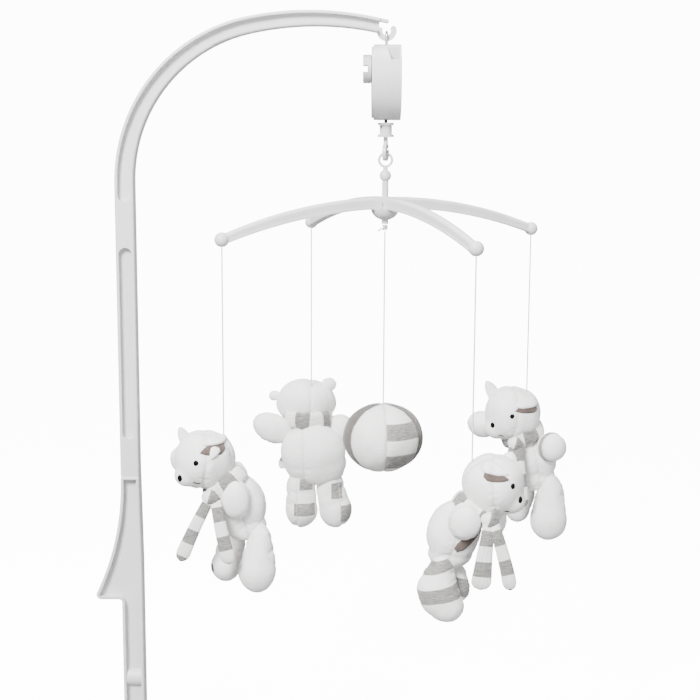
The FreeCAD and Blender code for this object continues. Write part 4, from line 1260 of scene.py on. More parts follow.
@dataclass(frozen=True)
class Scarf:
    """Striped jersey scarf: a band round the neck, a knot and two tails."""

    band: tuple[Triple, float, float, float, float]
    knot: tuple[Triple, Triple]
    tails: tuple[tuple[tuple[Triple, ...], float, float], ...]
    hoop: float = 13.5
    band_phase: float = 4.0
    tail_phase: float = 6.0

    def mesh(self, name: str, move: Vector) -> bpy.types.Mesh:
        """Builds the scarf.

        Args:
            name: The mesh's name.
            move: Shift from the toy's own place, in millimetres.

        Returns:
            One mesh of the band, the knot and the tails.
        """
        parts = [self._band(move)] + self._knot(move)
        parts += [self._tail(path, start, end, move) for path, start, end in self.tails]
        return joined(name, parts)

    def _band(self, move: Vector) -> bpy.types.Mesh:
        """The band round the neck, with soft folds."""
        centre, outer, inner, half, tilt = self.band
        spin = Matrix.Rotation(math.radians(tilt), 3, "Y")
        loft = Loft(18)
        loft.closed = True
        reach = (outer + inner) / 2
        for step in range(72):
            turn = 2 * math.pi * step / 72
            away = Vector((math.cos(turn), 0.92 * math.sin(turn), 0.0))
            fold = 0.8 * math.sin(5 * turn + tilt) + 0.5 * math.sin(11 * turn)
            middle = spin @ (away * (reach + 0.3 * fold) + Vector((0, 0, 0.8 * fold)))
            up = spin @ Vector((0.12 * math.sin(3 * turn), 0, 1)).normalized()
            thick = (outer - inner) * (0.82 + 0.10 * math.sin(7 * turn))
            width = 2 * half * (0.92 + 0.06 * math.sin(4 * turn + 1))
            loft.ring((Vector(centre) + move + middle) * MM, up, (spin @ away).normalized(),
                      width * MM, thick * MM)
        return loft.mesh("band", self.hoop, self.band_phase)

    def _knot(self, move: Vector) -> list[bpy.types.Mesh]:
        """The knot: a short wrapped roll over a smaller one."""
        centre, radii = self.knot
        meshes = []
        for turn, grow, deep, phase in ((18.0, 0.92, 1.0, 7.0), (75.0, 0.84, 0.6, 2.0)):
            loft = Loft(18)
            spin = Matrix.Rotation(math.radians(turn), 3, "Y")
            for step in range(25):
                run = -math.cos(math.pi * step / 24)
                round_end = math.sqrt(max(0.002, 1 - run**2)) * (0.92 + 0.08 * math.cos(5 * run))
                middle = Vector(centre) + move + spin @ Vector((run * radii[0] * grow, 0, 0))
                loft.ring(middle * MM, spin @ Vector((0, 0, 1)), Vector((0, 1, 0)),
                          2 * radii[2] * grow * round_end * MM,
                          2 * radii[1] * grow * deep * round_end * MM)
            meshes.append(loft.mesh("knot", self.hoop, phase))
        return meshes

    def _tail(self, path: tuple[Triple, ...], start: float, end: float, move: Vector) -> bpy.types.Mesh:
        """One flat, lightly filled tail with a round end.

        Args:
            path: Three points of its middle line, in millimetres.
            start: Width at the knot.
            end: Width near the end.
            move: Shift from the toy's own place.

        Returns:
            The closed tail.
        """
        a, b, c = (Vector(p) + move for p in path)
        loft = Loft(18)
        rows = 40
        for step in range(rows):
            share = step / (rows - 1)
            place = a * (1 - share) ** 2 + b * 2 * share * (1 - share) + c * share**2
            along = ((b - a) * (1 - share) + (c - b) * share).normalized()
            swing = Matrix.Rotation(0.18 * math.sin(3 * share + start), 3, along)
            out = swing @ along.cross(Vector((1, 0, 0))).cross(along).cross(along).normalized()
            if out.y > 0:
                out = -out
            across = along.cross(out).normalized()
            tip = math.sqrt(max(0.02, 1 - max(0.0, (share - 0.86) / 0.14) ** 2))
            width = (start + (end - start) * share) * tip
            thick = 5.2 * (0.75 + 0.25 * math.sin(math.pi * share)) * tip
            place = place + out * 0.5 * math.sin(9 * share)
            loft.ring(place * MM, across, out, width * MM, thick * MM)
        return loft.mesh("tail", self.hoop, self.tail_phase)


@dataclass
class StuffedAnimal:
    """Hanging plush animal: pouches, ears, embroidered face and scarf."""

    name: str
    body: str
    pouches: tuple[Pouch, ...]
    ears: tuple[Ear, ...]
    scarf: Scarf
    flaps: tuple[LyingFlap, ...] = ()
    body_leaves: tuple[LyingFlap, ...] = ()
    mouth: Triple | None = None
    far_eye: tuple[Triple, Triple] | None = None
    eyes: tuple[Triple, ...] = ()
    nose: Triple | None = None
    gaze: Triple = (0.0, 1.0, -0.164)
    seed: float = 1.0
    move: Vector = field(default_factory=Vector)
    skins: list[bpy.types.Object] = field(default_factory=list)

    def find_place(self) -> None:
        """Lines the toy up with its moulded stand-in, box middle on box middle."""
        low, high = (np.array(corner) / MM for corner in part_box("plush_" + self.name))
        lobes = [lobe for pouch in self.pouches for lobe in pouch.lobes]
        corners = [lobe.corners() for lobe in lobes]
        own_low = np.min([c[0] for c in corners], axis=0)
        own_high = np.max([c[1] for c in corners], axis=0)
        self.move = Vector((low + high) / 2 - (own_low + own_high) / 2)

    def lay_out(self, bench: StuffingBench) -> None:
        """Sews the pouches and lays them on the stuffing bench."""
        self.find_place()
        for pouch in self.pouches:
            piece = pouch.sewn(self.move)
            local = points_of(piece.data) / MM - np.array(self.move)
            bench.add(piece, pouch.seam_shares(local, 1.6))
            self.skins.append(piece)

    def finish(self, wardrobe: Wardrobe) -> list[bpy.types.Object]:
        """Sculpts, joins and dresses the toy.

        Args:
            wardrobe: The finishes.

        Returns:
            All the toy's pieces.
        """
        for index, (pouch, piece) in enumerate(zip(self.pouches, self.skins)):
            pouch.sculpt(piece, self.move, self.seed + index)
        trees = [self._tree(piece) for piece in self.skins]
        lines = []
        for pouch, tree in zip(self.pouches, trees):
            lines += pouch.seam_lines(tree, self.move)
        face = self._face(trees[0], wardrobe)
        meshes = [piece.data for piece in self.skins]
        for piece in self.skins:
            bpy.data.objects.remove(piece)
        ears = [ear.mesh("ear", self.move) for ear in self.ears]
        gaze = Vector(self.gaze).normalized()
        ears += [flap.mesh("flap", trees[0], gaze, self.move) for flap in self.flaps]
        ears += [body_leaf.mesh("body_leaf", trees[1], gaze, self.move) for body_leaf in self.body_leaves]
        toy = new_piece("toy_" + self.name, joined("toy_" + self.name, meshes + ears))
        wardrobe.dress(toy, Finish.PLUSH)
        scarf = new_piece("neckscarf_" + self.name, self.scarf.mesh("neckscarf_" + self.name, self.move))
        wardrobe.dress(scarf, Finish.JERSEY)
        thread = wardrobe.take(Finish.SEWING)
        stitches = StitchRow().sew("stitches_" + self.name, lines, thread)
        pieces = [toy, scarf, stitches] + face
        for piece in pieces:
            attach(piece, self.body)
        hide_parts("plush_" + self.name)
        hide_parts("scarf_" + self.name)
        return pieces

    @staticmethod
    def _tree(piece: bpy.types.Object) -> BVHTree:
        """Ray-casting tree of a skin."""
        mesh = piece.data
        return BVHTree.FromPolygons([v.co for v in mesh.vertices], [p.vertices for p in mesh.polygons])

    def _face(self, head: BVHTree, wardrobe: Wardrobe) -> list[bpy.types.Object]:
        """Embroiders the eyes and the nose on the head.

        Args:
            head: The head's skin.
            wardrobe: The finishes.

        Returns:
            The embroidered pieces.
        """
        spots = [(eye, self.gaze, 2.5, 2.9, 13) for eye in self.eyes]
        if self.nose is not None:
            spots.append((self.nose, self.gaze, 2.6, 3.6, 13))
        if self.mouth is not None:
            spots.append((self.mouth, self.gaze, 4.0, 0.5, 12))
        if self.far_eye is not None:
            spots.append((*self.far_eye, 2.5, 2.9, 13))
        meshes = []
        for aim, look, half_width, half_height, threads in spots:
            gaze = Vector(look).normalized()
            start = (Vector(aim) + self.move - gaze * 90) * MM
            place, out, _, _ = head.ray_cast(start, gaze)
            if place is None:
                LOG.warning("%s: no cloth under the stitch at %s", self.name, aim)
                continue
            out = out if out.dot(gaze) < 0 else -out
            patch = SatinPatch(half_width, half_height, threads)
            meshes.append(patch.mesh("patch", place, out, Vector((0.2, 0, 1))))
        if not meshes:
            return []
        piece = new_piece("face_" + self.name, joined("face_" + self.name, meshes))
        wardrobe.dress(piece, Finish.SATIN)
        return [piece]


@dataclass
class PatchworkBall:
    """Soft ball sewn from six peel-shaped panels of three cloths."""

    half_width: float = 39.5
    half_height: float = 34.6
    first_seam: float = -56.0
    panels: int = 6
    columns: int = 216
    rows: int = 90
    cloths: tuple[str, ...] = ("white", "hooped", "dark")

    def finish(self, wardrobe: Wardrobe) -> list[bpy.types.Object]:
        """Builds and dresses the ball.

        Args:
            wardrobe: The finishes.

        Returns:
            The ball and its seam stitches.
        """
        low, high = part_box("patchwork_ball")
        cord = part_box("string_middle")[0]
        middle = Vector(((low.x + high.x) / 2, (low.y + high.y) / 2, cord.z - self.half_height * MM))
        verts, grey, dark, seam, across = [], [], [], [], []
        lines: list[list[Vector]] = [[] for _ in range(self.panels)]
        for row in range(1, self.rows):
            fall = math.pi * row / self.rows
            for column in range(self.columns):
                turn = 360.0 * column / self.columns
                point, marks = self._point(turn, fall)
                verts.append(middle + point * MM)
                grey.append(marks[0])
                dark.append(marks[1])
                seam.append(marks[2])
                across.append(point.z * MM)
                panel, rest = divmod(column, self.columns // self.panels)
                if rest == 0 and 4 < row < self.rows - 4:
                    lines[panel].append(middle + point * 1.004 * MM)
        faces = self._faces(verts)
        for share in (1, -1):
            point = Vector((0, 0, share * self.half_height * 0.985))
            verts.append(middle + point * MM)
            grey.append(-2.0)
            dark.append(-2.0)
            seam.append(0.5)
            across.append(0.0)
        mesh = bpy.data.meshes.new("soft_ball")
        mesh.from_pydata([tuple(v) for v in verts], [], faces)
        turn_out(mesh)
        write_attribute(mesh, "grey_edge", np.array(grey))
        write_attribute(mesh, "brown_edge", np.array(dark))
        write_attribute(mesh, "seam_depth", np.array(seam))
        # painted shade along the panel seams and, at half strength, at the two poles
        write_attribute(mesh, "cloth_across", np.array(across))
        ball = new_piece("soft_ball", mesh)
        wardrobe.dress(ball, Finish.PATCH)
        row = StitchRow(3.0, 2.0, 0.26).sew("ball_stitches", lines, wardrobe.take(Finish.SEWING))
        loop = self._loop(middle, wardrobe)
        for piece in (ball, row, loop):
            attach(piece, "ball")
        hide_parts("patchwork_ball")
        return [ball, row, loop]

    def _loop(self, middle: Vector, wardrobe: Wardrobe) -> bpy.types.Object:
        """Small stitched tuft where the cord enters the ball."""
        lines = []
        top = middle + Vector((0, 0, self.half_height - 0.6)) * MM
        for step in range(8):
            turn = 2 * math.pi * step / 8
            away = Vector((math.cos(turn), math.sin(turn), 0))
            lines.append([top + away * 0.6 * MM, top + (away * 4.6 - Vector((0, 0, 0.5))) * MM])
        return StitchRow(3.6, 3.2, 0.3).sew("ball_tuft", lines, wardrobe.take(Finish.CORD))

    def _point(self, turn: float, fall: float) -> tuple[Vector, tuple[float, float, float]]:
        """One point of the skin and its marks.

        Args:
            turn: Degrees round the ball from the first seam.
            fall: Angle down from the top pole, in radians.

        Returns:
            The point from the ball's middle in millimetres, then how far inside grey and
            dark cloth and how near a seam it is, which sets the painted shade along the seams.
        """
        width = 360.0 / self.panels
        panel, rest = divmod(turn, width)
        ring = self.half_width * math.sin(fall)
        away = math.radians(min(rest, width - rest)) * ring
        bulge = 1 - math.exp(-away / 5.0)
        azimuth = math.radians(turn + self.first_seam - 90.0)
        spot = Vector((math.cos(azimuth), math.sin(azimuth), 0))
        place = Vector((spot.x * ring, spot.y * ring, self.half_height * math.cos(fall)))
        pucker = noise.noise(place * 0.33) * math.exp(-away / 3.5)
        sink = 0.9 * math.exp(-((away / 1.1) ** 2)) + 0.5 * pucker
        lump = noise.noise(place * 0.05 + Vector((3, 1, 2))) * 0.8
        place *= 1 + (1.1 * bulge - 0.9 - sink + lump) / self.half_width
        kind = self.cloths[int(panel) % len(self.cloths)]
        frayed = 0.9 * noise.noise(place * 0.55)
        dark = (away if kind == "dark" else -away) + frayed * math.exp(-away / 2.0)
        grey = -3.0
        if kind == "hooped":
            grey = min(float(hoop_edge(np.array([place.z]), 15.1, 4.5)[0]), away)
        return place, (grey, dark, math.exp(-((away / 0.9) ** 2)))

    def _faces(self, verts: list[Vector]) -> list[tuple[int, ...]]:
        """Quads between the rows, and fans at the two poles."""
        faces: list[tuple[int, ...]] = []
        wide = self.columns
        top, bottom = len(verts), len(verts) + 1
        for column in range(wide):
            after = (column + 1) % wide
            for row in range(self.rows - 2):
                a = row * wide
                faces.append((a + column, a + wide + column, a + wide + after, a + after))
            last = (self.rows - 2) * wide
            faces.append((top, column, after))
            faces.append((bottom, last + after, last + column))
        return faces


# ------------------------------------------------------------------- cords and knots
@dataclass
class HangingCord:
    """Plumb cord from a bar's ball, or the cap's knot, down to a soft toy."""

    side: str
    diameter: float = 1.4

    def finish(self, wardrobe: Wardrobe) -> list[bpy.types.Object]:
        """Args:
            wardrobe: The finishes.

        Returns:
            The cord.
        """
        low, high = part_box("string_" + self.side)
        x, y = (low.x + high.x) / 2, (low.y + high.y) / 2
        length = high.z - low.z
        data = bpy.data.curves.new("cord_" + self.side, "CURVE")
        data.dimensions = "3D"
        line = data.splines.new("NURBS")
        stops = [0.0, 0.1, 0.25, 0.45, 0.65, 0.85, 1.0]
        line.points.add(len(stops) - 1)
        for point, share in zip(line.points, stops):
            point.co = (x, y, high.z - length * share, 1.0)
        line.order_u = 3
        line.use_endpoint_u = True
        line.resolution_u = 8
        data.bevel_depth = self.diameter / 2 * MM
        data.bevel_resolution = 3
        data.use_fill_caps = True
        cord = bpy.data.objects.new("cord_" + self.side, data)
        bpy.context.scene.collection.objects.link(cord)
        data.materials.append(wardrobe.take(Finish.CORD))
        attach(cord, "thread_" + self.side)
        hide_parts("string_" + self.side)
        return [cord]


@dataclass
class CapKnot:
    """Overhand knot under the dome cap, with a short free tail."""

    strand: float = 0.75
    reach: float = 1.9

    def finish(self, wardrobe: Wardrobe) -> list[bpy.types.Object]:
        """Ties the knot.

        Args:
            wardrobe: The finishes.

        Returns:
            The knot.
        """
        low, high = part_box("cord_knot")
        middle = (low + high) / 2
        loft = Loft(10)
        loft.closed = True
        rows = 90
        for step in range(rows):
            turn = 2 * math.pi * step / rows
            place, ahead = self._trefoil(turn), self._trefoil(turn + 0.02)
            along = (ahead - place).normalized()
            across = along.cross(Vector((0, 0, 1))).normalized()
            out = across.cross(along).normalized()
            loft.ring(middle + place * MM, across, out, 2 * self.strand * MM, 2 * self.strand * MM)
        tail = Loft(10)
        for step in range(16):
            share = step / 15
            place = Vector((-1.5 - 5.0 * share, -0.6, -1.0 - 2.6 * share * share))
            along = Vector((-5.0, 0, -5.2 * share)).normalized()
            across = Vector((0, 1, 0))
            wide = 2 * self.strand * (1 + 0.5 * max(0, share - 0.8) * 5 * 0.4)
            tail.ring(middle + place * MM, across, along.cross(across), wide * MM, wide * MM)
        meshes = [loft.mesh("loop", 9, 0), tail.mesh("end", 9, 0)]
        knot = new_piece("cap_knot", joined("cap_knot", meshes))
        wardrobe.dress(knot, Finish.CORD)
        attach(knot, "carrier")
        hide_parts("cord_knot")
        return [knot]

    def _trefoil(self, turn: float) -> Vector:
        """A point of the knot's closed loop, in millimetres."""
        ring = 1 + 0.45 * math.cos(1.5 * 2 * turn)
        return Vector((
            self.reach * ring * math.cos(2 * turn) * 0.8,
            self.reach * ring * math.sin(2 * turn) * 0.8,
            self.reach * 1.05 * math.sin(3 * turn),
        ))


# ------------------------------------------------------------------- moulded assemblies
@dataclass(frozen=True)
class MouldedAssembly:
    """Moulded or metal parts that keep their shape and get their finish."""

    title: str
    finishes: dict[str, Finish]

    def finish(self, nodes: dict[str, bpy.types.Object], wardrobe: Wardrobe) -> list[bpy.types.Object]:
        """Dresses the parts.

        Args:
            nodes: The frame's parts by name.
            wardrobe: The finishes.

        Returns:
            The dressed parts.
        """
        for name, finish in self.finishes.items():
            wardrobe.dress(nodes[name], finish)
        return [nodes[name] for name in self.finishes]


ASSEMBLIES = (
    MouldedAssembly("clamp arm", {
        "clamp_bracket": Finish.ARM, "middle_post": Finish.ARM, "arch_arm": Finish.ARM,
    }),
    MouldedAssembly("clamp hardware", {
        "clamp_bolt": Finish.STEEL, "pressure_plate": Finish.ARM, "grip_pad": Finish.RUBBER,
        "wing_nut": Finish.ARM,
    }),
    MouldedAssembly("music box", {
        "case_left": Finish.CASE, "case_right": Finish.CASE, "hanger_bail": Finish.STEEL,
        "winding_knob": Finish.KNOB, "winding_arbor": Finish.STEEL, "spring_barrel": Finish.BRASS,
        "movement_plate": Finish.BRASS, "pin_drum": Finish.BRASS, "tone_comb": Finish.STEEL,
        "output_spindle": Finish.SHAFT, "spool_coupler": Finish.CASE, "snap_hook": Finish.CASE,
    }),
    MouldedAssembly("crossed carrier", {
        "ring_stem": Finish.ARM, "hub_cap": Finish.ARM, "spoke_bar_upper": Finish.ARM,
        "spoke_bar_lower": Finish.ARM,
    }),
)


# ---------------------------------------------------------------------- the four toys
LEFT_CAT = StuffedAnimal(
    "left_cat", "toy_left",
    pouches=(
        Pouch(
            "head",
            (
                Lobe((-16, -1, -22), (26.5, 29, 27)), Lobe((-5, -1, -22), (17.5, 24, 23)),
                Lobe((-29, -12, -34), (13, 12, 10.5)),
            ),
            (Seam((1, 0.25, -0.1), -1.0), Seam((0.2, 1, 0.15), 2.0)),
        ),
        Pouch(
            "body",
            (
                Lobe((18, 3, -66), (24, 19, 30), -18), Lobe((4, 0, -45), (14, 13, 17), -38),
                Lobe((22, 2, -86), (21, 15, 14)),
            ),
            (Seam((1, 0.1, 0.3), 2.0), Seam((0.1, 1, 0), 0.0)),
        ),
        Pouch("near_arm", (Lobe((15, -17, -56), (14, 11, 18)),), (Seam((0.3, 1, 0.1), 2.0),)),
        Pouch("far_arm", (Lobe((-34, 12, -26), (16, 14, 13), 30),), (Seam((0.2, 1, 0.1)),)),
        Pouch(
            "near_leg",
            (
                Lobe((37, -7, -104), (12, 11, 22)), Lobe((36.3, -8, -110), (14.2, 12, 21)),
                Lobe((35.5, -9, -117), (16.3, 13, 20)), Lobe((34, -11, -127), (18, 14, 20)),
            ),
            (Seam((0.2, 1, 0.1), 3.0),),
        ),
        Pouch(
            "far_leg",
            (
                Lobe((9, 11, -106), (12, 12, 19)), Lobe((6, 10, -117), (13, 13.5, 17)),
                Lobe((3, 9, -128), (14, 15, 15)),
            ),
            (Seam((0.2, 1, 0.1), 1.0),),
            (Spot((-11, 2, -129), 5.0, Tone.BROWN),),
        ),
    ),
    ears=(Ear((-31.5, 5, -8), (-0.42, 0.05, 0.9), (-0.5, 0.85, 0.1), 17.0, 13.0, 2.6),),
    flaps=(
        LyingFlap((5.0, -8.5), (-16.5, -14.5), 13.0, 0.3),
        LyingFlap((5.0, -0.5), (-15.5, -7.0), 10.0, 0.6, 1.6, None),
        LyingFlap((-2.0, -9.5), (-6.5, -20.0), 8.5, 1.2, 0.5, None),
    ),
    scarf=Scarf(
        ((4, -1, -45), 24, 13, 9, -38), ((-8, -24, -53), (9, 7, 8)),
        (
            (((-8, -25, -53), (-22, -34, -78), (-36, -30, -112)), 10.0, 14.0),
            (((-3, -25, -56), (3, -36, -84), (10, -32, -114)), 10.0, 14.0),
        ),
    ),
    eyes=((-20.0, 0, -23.6),), nose=(-36.0, 0, -38.5), mouth=(-20.0, 0, -43.0), seed=1.0,
    far_eye=((-30, 8, -22), (0.9, -0.44, 0)),
)

BACK_BEAR = StuffedAnimal(
    "back_bear", "toy_back",
    pouches=(
        Pouch("head", (Lobe((-4, 19, -15), (32, 26, 24.5)),),
              (Seam((1, 0.02, 0.04), 5.0), Seam((0, 1, -0.2), 6.0))),
        Pouch("ear_right", (Lobe((21, 18, 5), (9, 6, 8.5)),), (Seam((0, 1, 0)),)),
        Pouch("ear_left", (Lobe((-39, 18, -8), (7, 6, 6)),), (Seam((0, 1, 0)),)),
        Pouch(
            "body",
            (
                Lobe((5, -4, -65.5), (35, 26, 31)), Lobe((0, 8, -36), (20, 18, 17)),
                Lobe((6.5, -4, -76), (34, 23.5, 24)), Lobe((8, -4, -87), (30, 20, 14)),
            ),
            (Seam((1, 0, 0.05), -11.0), Seam((0.2, 1, 0), 6.0)),
        ),
        Pouch("arm_left", (Lobe((-40, 2, -41), (23, 13, 16), 20),), (Seam((0, 1, 0.1)),)),
        Pouch("arm_right", (Lobe((34, 12, -45), (17, 13, 17), -20),), (Seam((0, 1, 0.1)),)),
        Pouch("leg_left",
              (
                  Lobe((-9, -7, -106), (15, 14, 22)), Lobe((-8.5, -7.5, -118), (16, 15.5, 20)),
                  Lobe((-8, -8, -129.5), (17, 17, 20)),
              ),
              (Seam((1, 0.1, 0), -6.0),),
              (
                  Block((-3, -20, -99), (7.2, 14, 6.2)), Block((-4.5, -22, -126.5), (11.5, 16, 6.8)),
                  Block((-12, 9, -114), (8, 10, 6.5)),
              )),
        Pouch("leg_right",
              (
                  Lobe((23, -6, -106), (15, 14, 22)), Lobe((26, -6.5, -118), (16, 15.5, 20)),
                  Lobe((29, -7, -129.5), (17.5, 17, 20)),
              ),
              (Seam((1, 0.1, 0.1), 7.0),),
              (
                  Block((30.5, -14, -106), (6.0, 18, 8.5)), Block((41, -12, -131.5), (6.0, 18, 9.5)),
                  Block((20, 9, -124), (7, 10, 6.5)),
              )),
    ),
    ears=(),
    scarf=Scarf(
        ((-2, 9, -30), 28, 16, 10, 0), ((6, 33, -37), (10, 8, 9)),
        (
            (((6, 34, -38), (-16, 41, -64), (-33, 28, -93)), 10.0, 13.0),
            (((8, 34, -38), (14, 41, -66), (17, 29, -94)), 10.0, 13.0),
        ),
        band_phase=9.0, tail_phase=-6.0,
    ),
    eyes=((-13, 0, -12), (7, 0, -12)), nose=(-3, 0, -20), gaze=(0.0, -1.0, 0.0), seed=11.0,
)

FRONT_CAT = StuffedAnimal(
    "front_cat", "toy_front",
    pouches=(
        Pouch(
            "head",
            (
                Lobe((17, -1, -21), (26, 28, 27)), Lobe((6, -1, -20), (16, 23, 22)),
                Lobe((31, -9, -33), (12.5, 12, 10.5)),
            ),
            (Seam((1, -0.25, 0.1), 2.0), Seam((-0.2, 1, 0.15), 2.0)),
        ),
        Pouch(
            "body",
            (
                Lobe((-17, 2, -65), (24, 20, 29), 18), Lobe((2, 0, -45), (14, 13, 17), 32),
                Lobe((-20, 2, -84), (20, 15, 14)),
            ),
            (Seam((1, -0.1, -0.3), -2.0), Seam((0.1, 1, 0), 0.0)),
        ),
        Pouch("near_arm", (Lobe((-9, -18, -50), (15, 12, 16.5)),), (Seam((0, 1, 0), -4.0),)),
        Pouch("far_arm", (Lobe((19, 16, -56), (12, 11, 16), -15),), (Seam((0.2, 1, 0.1)),)),
        Pouch(
            "near_leg",
            (
                Lobe((-28, -6, -97), (11, 12, 15)), Lobe((-30.5, -7.5, -107), (15.5, 13, 16)),
                Lobe((-31.5, -8.5, -115), (18.5, 14, 18.5)), Lobe((-28.5, -9, -122), (18.5, 14, 18)),
                Lobe((-24, -9, -129), (16, 14, 15)),
            ),
            (Seam((0.2, 1, 0.1), 3.0),),
            (
                Ring((-28, -6, -91.5), (0.25, 0, -1), 0.0, 10.0),
                Ring((-32, -6, -117.5), (0.2, 0, -1), 0.0, 13.2),
            ),
        ),
        Pouch(
            "far_leg",
            (
                Lobe((-20, 11, -101), (12, 12, 17)), Lobe((-17.5, 10, -109), (13, 12.5, 16), -18),
                Lobe((-15, 9, -117), (13, 13, 16), -35),
            ),
            (Seam((0.2, 1, 0.1), 1.0),),
            (
                Ring((-20, 11, -90.5), (-0.3, 0, -1), 0.0, 7.0),
                Ring((-16, 11, -113.5), (-0.45, 0, -1), 0.0, 15.0),
            ),
        ),
    ),
    ears=(Ear((28, 9, -5), (0.5, 0.1, 0.85), (0.5, 0.85, 0.1), 13.0, 16.0, 2.6),),
    flaps=(
        LyingFlap((6.0, -10.0), (27.5, -14.5), 10.5, 0.3),
        LyingFlap((5.0, -2.0), (27.0, -10.0), 12.0, 0.6, 1.6, None),
    ),
    # brown leaf on the body below the near arm
    body_leaves=(LyingFlap((-17.0, -79.5), (6.5, -60.0), 9.0, 0.4),),
    scarf=Scarf(
        ((2, 0, -45), 24, 13, 9, 32), ((12, -24, -47), (9, 7, 8)),
        (
            (((11, -25, -48), (7, -36, -76), (4, -30, -108)), 10.0, 19.0),
            (((14, -25, -48), (25, -34, -76), (31, -28, -109)), 10.0, 13.0),
        ),
        tail_phase=8.0,
    ),
    eyes=((31.0, 0, -20),), nose=(38.5, 0, -32.7), mouth=(27.0, 0, -43.0), seed=21.0,
    far_eye=((31, 8, -21), (-0.9, -0.44, 0)),
)

RIGHT_CAT = StuffedAnimal(
    "right_cat", "toy_right",
    pouches=(
        Pouch(
            "head",
            (
                Lobe((-17, 0, -24), (26.5, 27, 28)), Lobe((-5, 0, -24), (17.5, 23, 24)),
                Lobe((-32, -7, -37), (12.5, 12, 11)),
            ),
            (Seam((1, 0.25, -0.1), -1.0), Seam((0.2, 1, 0.15), 2.0)),
        ),
        Pouch(
            "body",
            (
                Lobe((9, 4, -73), (23.5, 21, 29), -8), Lobe((-4, 1, -47), (14, 13, 17), -22),
                Lobe((11, 3, -92), (21, 18, 14)),
            ),
            (Seam((1, 0.1, 0.2), 2.0), Seam((0.1, 1, 0), 0.0)),
            # narrow brown strip on the body where the near leg meets it
            (Block((18, -14, -105.5), (2.6, 12, 7.5), Tone.BROWN),),
        ),
        Pouch("near_arm", (Lobe((24, -16, -56), (15, 15, 15)),), (Seam((0.45, -0.9, 0.1), 4.0),),
              (Ring((24, -16, -56), (0.45, -0.9, 0.1), 1.0, 4.6),)),
        Pouch("far_arm", (Lobe((-44, 10, -38), (17, 13, 13.5), 10),), (Seam((0.2, 1, 0.1)),)),
        Pouch(
            "near_leg",
            (
                Lobe((26, -6, -112), (15, 14, 24)), Lobe((25.5, -7, -118), (16.2, 14.8, 23)),
                Lobe((25, -7.7, -125), (17.6, 15.8, 22)), Lobe((24, -9, -134), (19, 17, 22)),
            ),
            (Seam((0.2, 1, 0.1), 3.0),),
        ),
        Pouch(
            "far_leg",
            (
                Lobe((0, 11, -112), (12, 12, 20)), Lobe((-3, 10.5, -121), (12.5, 12.5, 16)),
                Lobe((-6, 10, -129), (13, 13, 14)),
            ),
            (Seam((0.2, 1, 0.1), 1.0),),
        ),
    ),
    ears=(Ear((-31.5, 7, -8), (-0.5, 0.05, 0.85), (-0.5, 0.85, 0.1), 20.0, 16.0, 2.6),),
    flaps=(
        LyingFlap((8.0, -16.5), (-15.5, -20.5), 10.5, 0.3),
        LyingFlap((8.0, -9.0), (-15.5, -16.5), 12.0, 0.6, 1.6, None),
    ),
    scarf=Scarf(
        ((-4, 1, -46), 24, 13, 9, -22), ((-14, -24, -51), (9, 7, 8)),
        (
            (((-12, -25, -52), (-9, -36, -84), (-6, -29, -117)), 10.0, 14.0),
            (((-16, -25, -52), (-21, -34, -76), (-25, -28, -104)), 10.0, 13.0),
        ),
        tail_phase=3.0,
    ),
    eyes=((-18.5, 0, -25.9),), nose=(-37.5, 0, -35.6), mouth=(-28.0, 0, -46.5), seed=31.0,
    far_eye=((-31, 8, -24), (0.9, -0.44, 0)),
)


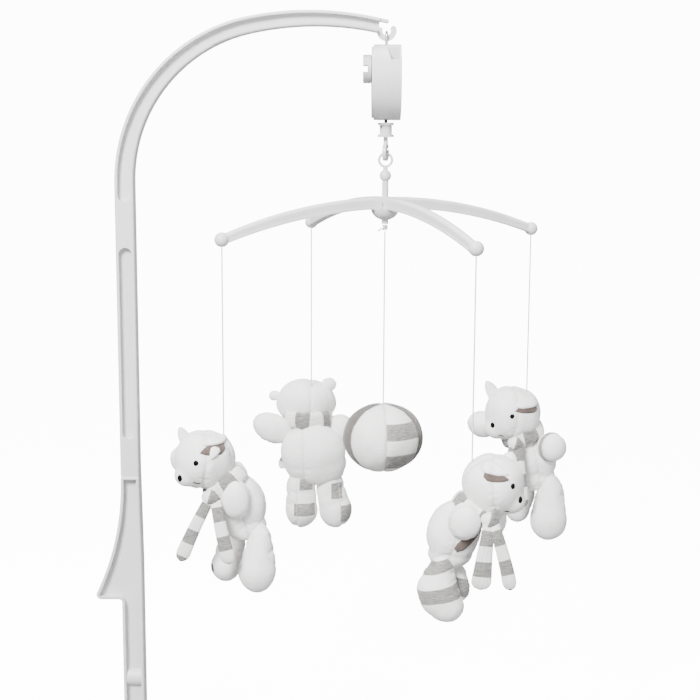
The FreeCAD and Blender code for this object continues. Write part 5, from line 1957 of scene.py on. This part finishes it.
# ----------------------------------------------------------------------------- studio
@dataclass(frozen=True)
class Studio:
    """Pale sweep, soft lights and the camera."""

    floor_low: float = -0.20
    far: float = 4.5
    bend: float = 1.5
    height: float = 5.0
    lens: float = 72.0
    pitch: float = 9.43
    roll: float = 0.30
    aim: Triple = (0.2392, 0.0, 0.2534)
    distance: float = 1.371

    def build(self, wardrobe: Wardrobe) -> None:
        """Puts the mobile in the studio.

        Args:
            wardrobe: The finishes.
        """
        self._sweep(wardrobe)
        self._world()
        self._lamp("key", (-0.6, -1.7, 1.75), 0.7, 200.0)
        self._lamp("fill", (1.35, -1.75, 0.35), 1.0, 20.0)
        self._lamp("top", (0.25, 0.2, 2.1), 0.9, 48.0)
        self._camera()

    def _sweep(self, wardrobe: Wardrobe) -> None:
        """Round floor that curves up into a wall; its glow stays off the mobile."""
        rows = [(self.far - self.bend, self.floor_low)]
        for step in range(1, 13):
            turn = math.pi / 2 * step / 12
            rows.append((self.far - self.bend + self.bend * math.sin(turn),
                         self.floor_low + self.bend * (1 - math.cos(turn))))
        rows.append((self.far, self.height))
        around = 72
        verts = [(self.aim[0], self.aim[1], self.floor_low)]
        for away, high in rows:
            for step in range(around):
                turn = 2 * math.pi * step / around
                east, north = away * math.cos(turn), away * math.sin(turn)
                verts.append((self.aim[0] + east, self.aim[1] + north, high))
        faces: list[tuple[int, ...]] = []
        for step in range(around):
            after = (step + 1) % around
            faces.append((0, 1 + step, 1 + after))
            for row in range(len(rows) - 1):
                a, b = 1 + row * around, 1 + (row + 1) * around
                faces.append((a + step, b + step, b + after, a + after))
        mesh = bpy.data.meshes.new("studio_sweep")
        mesh.from_pydata(verts, [], faces)
        sweep = new_piece("studio_sweep", mesh)
        wardrobe.dress(sweep, Finish.PAPER)
        sweep.visible_diffuse = False
        sweep.visible_glossy = False
        sweep.visible_shadow = False

    @staticmethod
    def _world() -> None:
        """Even white surroundings."""
        world = bpy.data.worlds.new("studio")
        bpy.context.scene.world = world
        world.use_nodes = True
        sky = world.node_tree.nodes["Background"]
        sky.inputs["Color"].default_value = (1.0, 1.0, 1.0, 1.0)
        sky.inputs["Strength"].default_value = 0.62

    def _lamp(self, name: str, place: Triple, size: float, power: float) -> None:
        """Hangs a square soft light that faces the mobile.

        Args:
            name: The lamp's name.
            place: Where it hangs, in metres.
            size: Side of its face.
            power: Watts.
        """
        data = bpy.data.lights.new(name, "AREA")
        data.size = size
        data.energy = power
        lamp = bpy.data.objects.new(name, data)
        lamp.location = place
        lamp.rotation_euler = (Vector(self.aim) - Vector(place)).to_track_quat("-Z", "Y").to_euler()
        bpy.context.scene.collection.objects.link(lamp)

    def _camera(self) -> None:
        """Looks slightly down on the mobile from the front."""
        data = bpy.data.cameras.new("camera")
        data.lens = self.lens
        data.sensor_width = 36.0
        camera = bpy.data.objects.new("camera", data)
        bpy.context.scene.collection.objects.link(camera)
        tip = Matrix.Rotation(math.radians(90.0 - self.pitch), 4, "X")
        lean = Matrix.Rotation(math.radians(self.roll), 4, "Z")
        down = math.radians(self.pitch)
        back = Vector((0.0, -math.cos(down), math.sin(down)))
        place = Matrix.Translation(Vector(self.aim) + back * self.distance)
        camera.matrix_world = place @ tip @ lean
        bpy.context.scene.camera = camera


# ------------------------------------------------------------------------------- main
class CribMobile:
    """The whole mobile, assembly by assembly."""

    def __init__(self) -> None:
        """Lists the assemblies."""
        self.wardrobe = Wardrobe()
        self.toys = (LEFT_CAT, BACK_BEAR, FRONT_CAT, RIGHT_CAT)
        self.ball = PatchworkBall()
        self.cords = tuple(HangingCord(side) for side in ("left", "back", "front", "right", "middle"))
        self.knot = CapKnot()
        self.assemblies = ASSEMBLIES

    def build(self, nodes: dict[str, bpy.types.Object]) -> None:
        """Builds the soft pieces and dresses everything.

        Args:
            nodes: The frame's parts by name.
        """
        bench = StuffingBench()
        for toy in self.toys:
            toy.lay_out(bench)
        bench.fill()
        for toy in self.toys:
            LOG.info("%s: %d pieces", toy.name, len(toy.finish(self.wardrobe)))
        self.ball.finish(self.wardrobe)
        for cord in self.cords:
            cord.finish(self.wardrobe)
        self.knot.finish(self.wardrobe)
        for assembly in self.assemblies:
            LOG.info("%s: %d parts", assembly.title, len(assembly.finish(nodes, self.wardrobe)))


def main() -> None:
    """Builds the scene around the frame."""
    logging.basicConfig(level=logging.INFO, format="%(message)s")
    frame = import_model()
    mobile = CribMobile()
    mobile.build(frame["nodes"])
    Studio().build(mobile.wardrobe)


if __name__ == "__main__":
    main()
